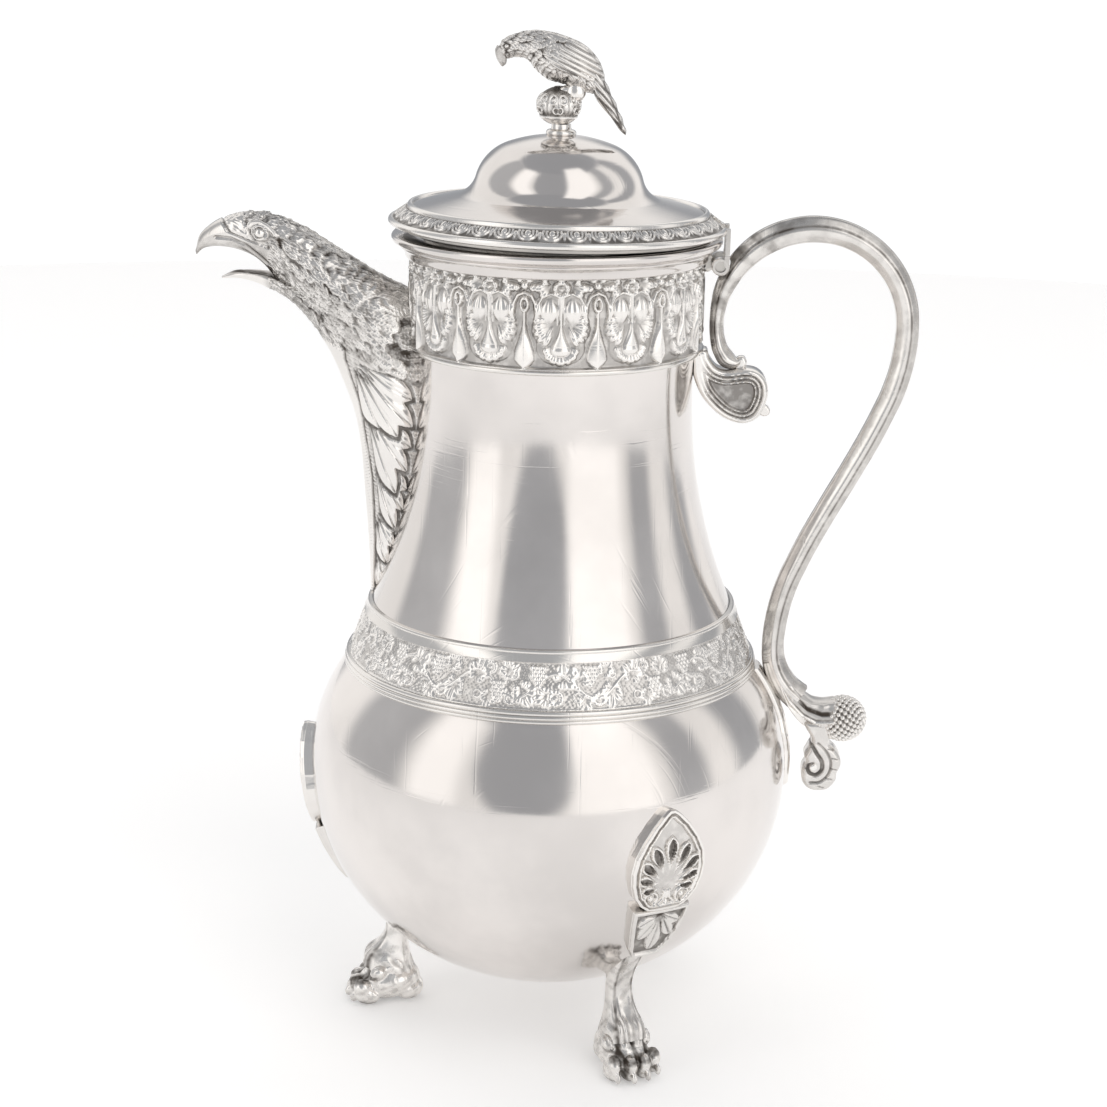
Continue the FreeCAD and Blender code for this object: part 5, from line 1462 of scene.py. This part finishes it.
def paw_points():
    """Lion's paw: pad, four toes with two knuckles each, claws and heel."""
    parts = [lump((44.2, 0, 5.8), (9.0, 6.9, 5.7), 12), lump((43.4, 0, 10.4), (6.2, 5.6, 5.2), 30),
             lump((38.8, 0, 3.6), (4.6, 5.0, 3.7))]
    for side, back in ((-5.7, 1.9), (-1.95, 0.1), (1.95, 0.1), (5.7, 1.9)):
        spread = side * 1.04
        parts.append(lump((48.4 - back, side * 0.92, 9.3), (2.7, 1.95, 2.2), 42))
        parts.append(lump((52.8 - back, spread, 4.9), (2.6, 2.0, 2.7), 25))
        parts.append(lump((51.4 - back, spread, 2.6), (3.6, 1.75, 2.5), 0))
        parts.append(lump((55.2 - back, spread * 1.02, 2.4), (1.3, 0.85, 1.7), -15))
    points, faces, normal = fused(parts, 0.3, 2)
    fur = 0.5 + 0.5 * np.cos(points[:, 1] * 5.0 + 0.8 * noise(points, 4.0, 43, 1))
    fur = fur * smooth(8.0, 12.0, points[:, 2])
    points = points - normal * (0.28 * fur + 0.06 * (1 + noise(points, 1.2, 44, 2)))[:, None]
    points[:, 2] = np.maximum(points[:, 2], 0.0)
    # tarnish lies between the toes, and the paw is also made darker towards its bottom
    beside = np.abs(points[:, 1, None] - np.array([-3.8, 0.0, 3.8])).min(axis=1)
    toes = smooth(45.5, 47.5, points[:, 0])
    gap = smooth(1.0, 0.3, beside) * toes
    crease = smooth(0.9, 0.2, np.abs(points[:, 2] - 7.4 + 0.25 * (points[:, 0] - 50))) * toes
    stain = np.clip(0.75 * gap + 0.6 * crease + 0.35 * fur + 0.5 * smooth(2.2, 0.4, points[:, 2])
                    + 0.3 * smooth(-0.4, 0.8, noise(points, 2.5, 45, 3)), 0, 1)
    return points, faces, stain


def feet():
    """Three feet alike: leg, paw and panel in one piece, and the palmette plate above."""
    leg, paw = leg_points(), paw_points()
    plate = applied_plate(54.55, 81.5, plate_half, 3.4, plate_relief, 240, 130)
    panel = applied_plate(38.5, 54.5, panel_half, 2.9, panel_relief, 130, 90)
    for name, bearing in FEET:
        points, faces, stain = join([leg, paw, panel])
        piece(f"foot_leg_{name}_cast", turned(points, bearing), faces, "pot", CAST, [f"foot_leg_{name}"],
              tarnish_and_shade=stain, sharp=70)
        points, faces, stain = plate
        piece(f"foot_palmette_{name}_cast", turned(points, bearing), faces, "pot", CAST,
              [f"foot_palmette_{name}"], tarnish_and_shade=stain, sharp=55)


# ---------------------------------------------------------------- finial and hinge

BIRD = (
    (-15.4, 261.6, -17.0, 263.4, 0.9), (-14.3, 260.7, -15.9, 265.6, 2.5), (-12.2, 261.2, -12.6, 267.4, 3.4),
    (-9.6, 260.9, -8.6, 268.4, 4.0), (-7.2, 258.4, -4.6, 268.3, 4.8), (-4.0, 256.0, 0.0, 267.3, 5.4),
    (0.6, 254.8, 3.6, 265.8, 5.4), (4.2, 253.4, 6.8, 263.4, 4.6), (6.9, 252.9, 8.8, 260.7, 3.6),
    (8.4, 252.6, 9.8, 258.4, 2.8), (9.0, 252.6, 10.2, 256.6, 1.6),
)
BEAK = (
    (-14.6, 262.6, -17.0, 264.2, 1.7), (-14.4, 260.8, -17.5, 262.6, 1.25),
    (-14.6, 259.6, -16.9, 260.6, 0.8), (-15.4, 258.9, -15.9, 259.1, 0.2),
)


def bird_skin(points):
    """Feather relief of the bird: scales on head and breast, longer feathers behind."""
    x, y, z = points[..., 0], points[..., 1], points[..., 2]
    along = (x + 18.0) * 0.86 + (270.0 - z) * 0.50
    across = (270.0 - z) * 0.86 - (x + 18.0) * 0.40 + 0.8 * np.abs(y)
    scales = plumage(along, across, 1.35, 1.15, 61, 0.0) * 1.05 - 0.08
    beak = smooth(-14.6, -15.4, x) * smooth(263.6, 262.4, z)
    return scales * (1 - beak) + 0.95 * beak


BIRD_EYE = (-14.6, 264.2)


def bird():
    """Bird on the ball: trunk, beak, wings, tail, thighs and feet in one piece."""
    rows, columns = 230, 200
    trunk = tube_points(BIRD, rows, columns, 0.9)
    x, z = trunk[..., 0], trunk[..., 2]
    socket = smooth(1.3, 0.8, np.hypot(x - BIRD_EYE[0], z - BIRD_EYE[1]))
    height = np.maximum(bird_skin(trunk) * (1 - socket * 0.5), dot(x, z, BIRD_EYE, 0.62))
    trunk = trunk - grid_normals(trunk) * (0.62 * (1 - height) * end_fade(rows, 5))[..., None]
    parts = [(trunk, tube_faces(rows, columns), 0.95 * (1 - smooth(0.25, 0.8, height)))]
    parts.append((tube_points(BEAK, 40, 40, 0.9), tube_faces(40, 40), 0.4))
    parts += [wing(-1), wing(1), bird_tail()]
    for side in (-1.9, 1.9):
        parts.append(lump((3.4, side, 253.2), (2.6, 1.7, 2.6), 30))
        parts.append(lump((1.2, side, 253.8), (2.4, 0.9, 1.0), -12))
    points, faces, stain = join(parts)
    piece("finial_bird_cast", points, faces, "lid", CAST, ["finial_bird"], tarnish_and_shade=stain, sharp=180)


WING = (
    (-6.4, 266.6), (-5.6, 262.6), (-2.0, 259.4), (3.0, 257.4), (7.4, 255.6), (9.6, 254.6), (10.6, 256.2),
    (9.8, 259.6), (7.8, 262.6), (4.6, 265.2), (0.0, 267.0), (-4.0, 267.9),
)


def wing_relief(x, z, _):
    """Small coverts, then long flight feathers to the tip."""
    along = (x + 8.0) * 0.90 + (268.0 - z) * 0.43
    across = (268.0 - z) * 0.9 - (x + 8.0) * 0.43
    coverts = plumage(along, across, 1.9, 1.5, 67, 0.05)
    quills = 0.5 + 0.5 * np.cos(2 * math.pi * across / 1.25)
    low = smooth(7.5, 9.0, along + 0.5 * across)
    height = coverts * (1 - low) + (0.35 + 0.65 * quills) * low
    return 0.45 * (1 - height), np.clip(0.85 * (1 - smooth(0.2, 0.7, height)) + 0.12, 0, 1)


def wing(side):
    """Folded wing, bent round the bird's side."""
    points, faces, stain = slab_relief(WING, 0.9, 0.6, 0.22, wing_relief)
    bulge = 4.75 - 0.030 * (points[:, 0] - 0.5) ** 2 - 0.045 * (points[:, 2] - 260.5) ** 2
    points[:, 1] = side * (points[:, 1] + np.clip(bulge, 0.6, 6.0))
    return points, faces, stain


TAIL = (
    (6.4, 255.6, 9.6, 260.6, 3.4), (8.0, 252.4, 11.2, 256.0, 3.3), (10.8, 248.8, 13.4, 251.6, 3.1),
    (13.4, 245.6, 15.4, 247.4, 2.6), (15.2, 243.6, 16.5, 244.8, 1.8), (16.4, 242.6, 16.9, 243.0, 0.6),
)


def bird_tail():
    """Long straight tail of grooved feathers."""
    rows, columns, pitch = 110, 96, 1.5
    tail = tube_points(TAIL, rows, columns, 0.8)
    down = (tail[..., 0] - 8) * 0.65 + (tail[..., 2] - 256) * 0.72
    ridges = [np.cos(2 * math.pi * way / pitch) for way in (tail[..., 1], down)]
    height = 0.5 + 0.5 * np.minimum(*ridges)
    stain = 0.75 * (1 - smooth(0.1, 0.6, height)) + 0.08
    return tail - grid_normals(tail) * (0.35 * (1 - height))[..., None], tube_faces(rows, columns), stain


def globe():
    """Ball chased with upright leaves and small roundels, and the turned collar under it."""
    fall = np.linspace(math.pi - 0.43, 0.12, 96)
    profile = [(0.05, 245.05), (2.4, 245.05)]
    profile += [(6.0 * math.sin(a), 249.6 + 5.0 * math.cos(a)) for a in fall] + [(0.05, 254.57)]

    def carve(angle, radius, height):
        u = np.broadcast_to((angle * 6.0 + 3.14) % 6.283 - 3.1415, radius.shape)
        side, v = np.abs(u), height - 246.0
        leaves = highest(petal(u, v, (0, 0.4), 90, 7.8, 2.1, 1.0, 0.4),
                         petal(side, v, (3.14, 1.6), 90, 6.2, 1.5, 1.2, 0.3))
        relief = highest(leaves * 0.7, ring(side, v, (1.7, 5.4), 1.15, 0.42), dot(side, v, (1.7, 5.4), 0.5),
                         ring(side, v, (2.6, 2.6), 0.8, 0.35))
        relief = 1 - (1 - relief) * smooth(0.4, 1.6, v)
        return radius - 0.55 * (1 - relief) * (radius > 1.5), height, 0.9 * (1 - smooth(0.1, 0.7, relief))

    made = lathe("finial_globe_chased", profile, "lid", CAST, ["finial_globe"], 256, carve, sharp=180)
    shift_mesh(made, -0.8)
    stem = [(1.2, 242.15), (3.6, 242.15)] + arc((3.75, 242.3), (3.3, 243.6), 0.85, 8)
    stem += arc((2.7, 243.75), (2.5, 244.4), -1.2, 6) + [(2.5, 245.0), (1.2, 245.0)]
    lathe("finial_stem_turned", stem, "lid", BRIGHT, ["finial_stem"], 96, slot="polished_silver")


def shift_mesh(made, across):
    """Moves a lid piece's points along +X on the opened lid."""
    step = (across * MM * math.cos(AJAR), -across * MM * math.sin(AJAR))
    for vertex in made.data.vertices:
        vertex.co.x += step[0]
        vertex.co.z += step[1]


def knuckle(low, high):
    """Turned hinge knuckle about the hinge's axis, with rounded rims and a drilled end."""
    bore, reach, rim, count = 1.45, 2.3, 0.3, 56
    profile = np.array([(bore, low), (reach - rim, low), (reach, low + rim), (reach, high - rim),
                        (reach - rim, high), (bore, high)])
    turn = np.linspace(0, 2 * math.pi, count, endpoint=False)[:, None]
    points = np.stack([HINGE[0] + np.cos(turn) * profile[:, 0], np.ones((count, 1)) * profile[:, 1],
                       HINGE[1] + np.sin(turn) * profile[:, 0]], -1).reshape(-1, 3)
    return points, grid_faces(count, len(profile), True, True), 0.15


# side view of the strap, and of the web that ties the fixed knuckle to the neck
STRAP_SIDE = ((43.35, 220.35), (44.45, 220.35), (44.5, 216.0), (44.5, 211.6), (43.9, 210.0), (43.0, 211.5),
              (43.35, 214.0))
WEB_SIDE = ((37.3, 209.4), (37.3, 213.9), (39.2, 214.2), (40.6, 212.6), (40.4, 209.6), (39.2, 208.8))


def hinge_strap(low, high):
    """Curved strap from the lid's border down to a knuckle."""
    border = np.array(STRAP_SIDE)
    count = len(border)
    front, back = (np.column_stack([border[:, 0], np.full(count, y), border[:, 1]]) for y in (low, high))
    faces = [tuple(range(count)), tuple(range(2 * count - 1, count - 1, -1))]
    faces += [(k, (k + 1) % count, count + (k + 1) % count, count + k) for k in range(count)]
    return np.concatenate([front, back]), faces, 0.2


def hinge():
    """Knuckle fixed to the pot, and the lid's two knuckles with their straps."""
    web = slab_relief(WEB_SIDE, 2.9, 0.5, 0.25, smooth_curve=False)
    clear_wall(web[0], 38.7)
    points, faces, stain = join([knuckle(-3.3, 3.3), web])
    piece("hinge_fixed_knuckle", points, faces, "pot", FITTING, ["hinge_body_knuckle"], tarnish_and_shade=stain)
    for low, high, node in ((-7.0, -3.7, "hinge_lid_knuckle_front"), (3.7, 7.0, "hinge_lid_knuckle_back")):
        points, faces, stain = join([knuckle(low, high), hinge_strap(low + 0.05, high - 0.05)])
        piece(f"{node}_turned", points, faces, "lid", BRIGHT, [node], tarnish_and_shade=stain)


# ---------------------------------------------------------------- camera, floor and light

def aim_camera():
    """Camera at 2 degrees round towards +X and 15.5 degrees up, rolled by 1 degree."""
    target, distance = Vector((0.43, 0.0, 131.5)) * MM, 644.9 * MM
    pitch, bearing, roll = math.radians(15.5), math.radians(2.0), math.radians(1.0)
    data = bpy.data.cameras.new("camera")
    data.sensor_fit = "HORIZONTAL"
    data.angle = 2 * math.atan(553.5 / 2400)
    data.clip_start = 0.01
    data.clip_end = 100
    camera = add_object("camera", data)
    level = math.cos(pitch)
    away = Vector((math.sin(bearing) * level, -math.cos(bearing) * level, math.sin(pitch)))
    turn = away.to_track_quat("Z", "Y").to_matrix().to_4x4()
    camera.matrix_world = Matrix.Translation(target + away * distance) @ turn @ Matrix.Rotation(roll, 4, "Z")
    bpy.context.scene.camera = camera


def floor():
    """Round pale table top, which glows a little so that it stays as pale as the studio."""
    radius, drop, count = 1400, -0.05, 96
    tone = (0.86, 0.855, 0.85, 1)
    material = bpy.data.materials.new("pale_floor")
    material.use_nodes = True
    shader = material.node_tree.nodes["Principled BSDF"]
    shader.inputs["Base Color"].default_value = tone
    shader.inputs["Roughness"].default_value = 0.9
    shader.inputs["Emission Color"].default_value = tone
    shader.inputs["Emission Strength"].default_value = 0.31
    turns = [2 * math.pi * k / count for k in range(count)]
    edge = [(radius * math.cos(turn) * MM, radius * math.sin(turn) * MM, drop * MM) for turn in turns]
    mesh = bpy.data.meshes.new("floor")
    mesh.from_pydata(edge, [], [tuple(range(count))])
    made = add_object("floor", mesh)
    mesh.materials.append(material)


# dark gap in front of the pot: middle bearing, half width, height of its widest part, reach below, darkness
FRONT_GAP = (-9.0, 26.0, 27.0, 37.0, 0.60)
# grey gaps: bearing from and to, height from and to, softness, darkness
GAPS = (
    (-112.0, -72.0, -30.0, 60.0, 6.0, 0.5),
    (64.0, 84.0, -30.0, 60.0, 5.0, 0.55),
    (104.0, 128.0, -30.0, 60.0, 6.0, 0.6),
    (150.0, 179.9, -30.0, 20.0, 8.0, 0.7),
    (-179.9, -150.0, -30.0, 20.0, 8.0, 0.7),
)
STUDIO_WHITE, STUDIO_GREY, STRENGTH = (1.0, 0.985, 0.97), (0.065, 0.09, 0.13), 1.05


def studio():
    """White studio round the pot with grey gaps, seen only in the silver; the camera sees white."""
    world = bpy.data.worlds.new("studio")
    bpy.context.scene.world = world
    world.use_nodes = True
    tree = world.node_tree
    nodes, links = tree.nodes, tree.links
    nodes.clear()

    def calc(operation, *values):
        return math_node(tree, operation, *values)

    def window(source, low, high, soft):
        """1 between low and high, with soft edges."""
        rise = ramp_node(tree, source, low - soft, low + soft)
        fall = ramp_node(tree, source, high - soft, high + soft)
        return calc("MULTIPLY", rise, calc("SUBTRACT", 1.0, fall))

    def squared(source, middle, half):
        off = calc("DIVIDE", calc("SUBTRACT", source, middle), half)
        return calc("MULTIPLY", off, off)

    way = nodes.new("ShaderNodeTexCoord")
    split = nodes.new("ShaderNodeSeparateXYZ")
    links.new(way.outputs["Generated"], split.inputs["Vector"])
    x, y, z = (split.outputs[key] for key in "XYZ")
    # bearing from -Y towards +X and height over the horizon, in degrees
    bearing = calc("MULTIPLY", calc("ARCTAN2", x, calc("MULTIPLY", y, -1.0)), math.degrees(1))
    height = calc("MULTIPLY", calc("ARCSINE", z), math.degrees(1))

    # the gap in front narrows to a rounded foot towards the table
    middle, half, widest, below, darkness = FRONT_GAP
    lower = calc("MINIMUM", height, widest)
    foot = calc("ADD", squared(bearing, middle, half), squared(lower, widest, below))
    dark = calc("MULTIPLY", calc("SUBTRACT", 1.0, ramp_node(tree, foot, 0.72, 1.25)), darkness)
    for left, right, bottom, top, soft, darkness in GAPS:
        patch = calc("MULTIPLY", window(bearing, left, right, soft), window(height, bottom, top, soft))
        dark = calc("MAXIMUM", dark, calc("MULTIPLY", patch, darkness))
    # dark ceiling above and a little in front of the pot
    overhead = calc("MULTIPLY_ADD", y, -0.08, z)
    dark = calc("MAXIMUM", dark, calc("MULTIPLY", ramp_node(tree, overhead, 0.78, 0.86), 0.64))
    # two bright screens in front of the gaps
    screen = calc("MULTIPLY", window(bearing, 14.0, 56.0, 5.0), window(height, -11.0, 66.0, 4.0))
    second = calc("MULTIPLY", window(bearing, -66.0, -42.0, 5.0), window(height, -11.0, 54.0, 4.0))
    lit = calc("MAXIMUM", screen, calc("MULTIPLY", second, 0.8))
    dark = calc("MULTIPLY", dark, calc("SUBTRACT", 1.0, lit))
    bright = calc("ADD", calc("MULTIPLY", calc("MAXIMUM", screen, second), 0.35), STRENGTH)
    reflected = nodes.new("ShaderNodeBackground")
    links.new(bright, reflected.inputs["Strength"])
    links.new(mix_node(tree, dark, STUDIO_WHITE, STUDIO_GREY), reflected.inputs["Color"])
    white = nodes.new("ShaderNodeBackground")
    white.inputs["Color"].default_value = (1, 1, 1, 1)
    white.inputs["Strength"].default_value = STRENGTH
    path = nodes.new("ShaderNodeLightPath")
    choose = nodes.new("ShaderNodeMixShader")
    links.new(path.outputs["Is Camera Ray"], choose.inputs["Fac"])
    links.new(reflected.outputs["Background"], choose.inputs[1])
    links.new(white.outputs["Background"], choose.inputs[2])
    out = nodes.new("ShaderNodeOutputWorld")
    links.new(choose.outputs["Shader"], out.inputs["Surface"])


def area_light(name, place, target, size, power):
    """Soft square light that the silver doesn't mirror."""
    data = bpy.data.lights.new(name, "AREA")
    data.shape = "SQUARE"
    data.size = size
    data.energy = power
    made = add_object(name, data)
    made.location = place
    made.rotation_euler = (Vector(place) - Vector(target)).to_track_quat("Z", "Y").to_euler()
    made.visible_glossy = False


bpy.context.scene.view_settings.view_transform = "Standard"
bpy.context.scene.view_settings.look = "None"
aim_camera()
floor()
studio()
area_light("key_light", (0.5, -0.9, 1.3), (0, 0, 0.12), 0.9, 3.0)
area_light("top_light", (-0.2, 0.3, 1.6), (0, 0, 0.12), 1.2, 3.0)
body_shells()
bands()
leaf_band()
vine_band()
lid_shell()
lid_border()
eagle_spout()
handle_rod()
handle_scroll()
berry()
calyx()
lower_curl()
escutcheon()
feet()
bird()
globe()
hinge()
for node_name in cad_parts:
    kept = bpy.data.objects.get(node_name)
    if kept is not None and not kept.hide_render:
        shade_node(node_name, FITTING)
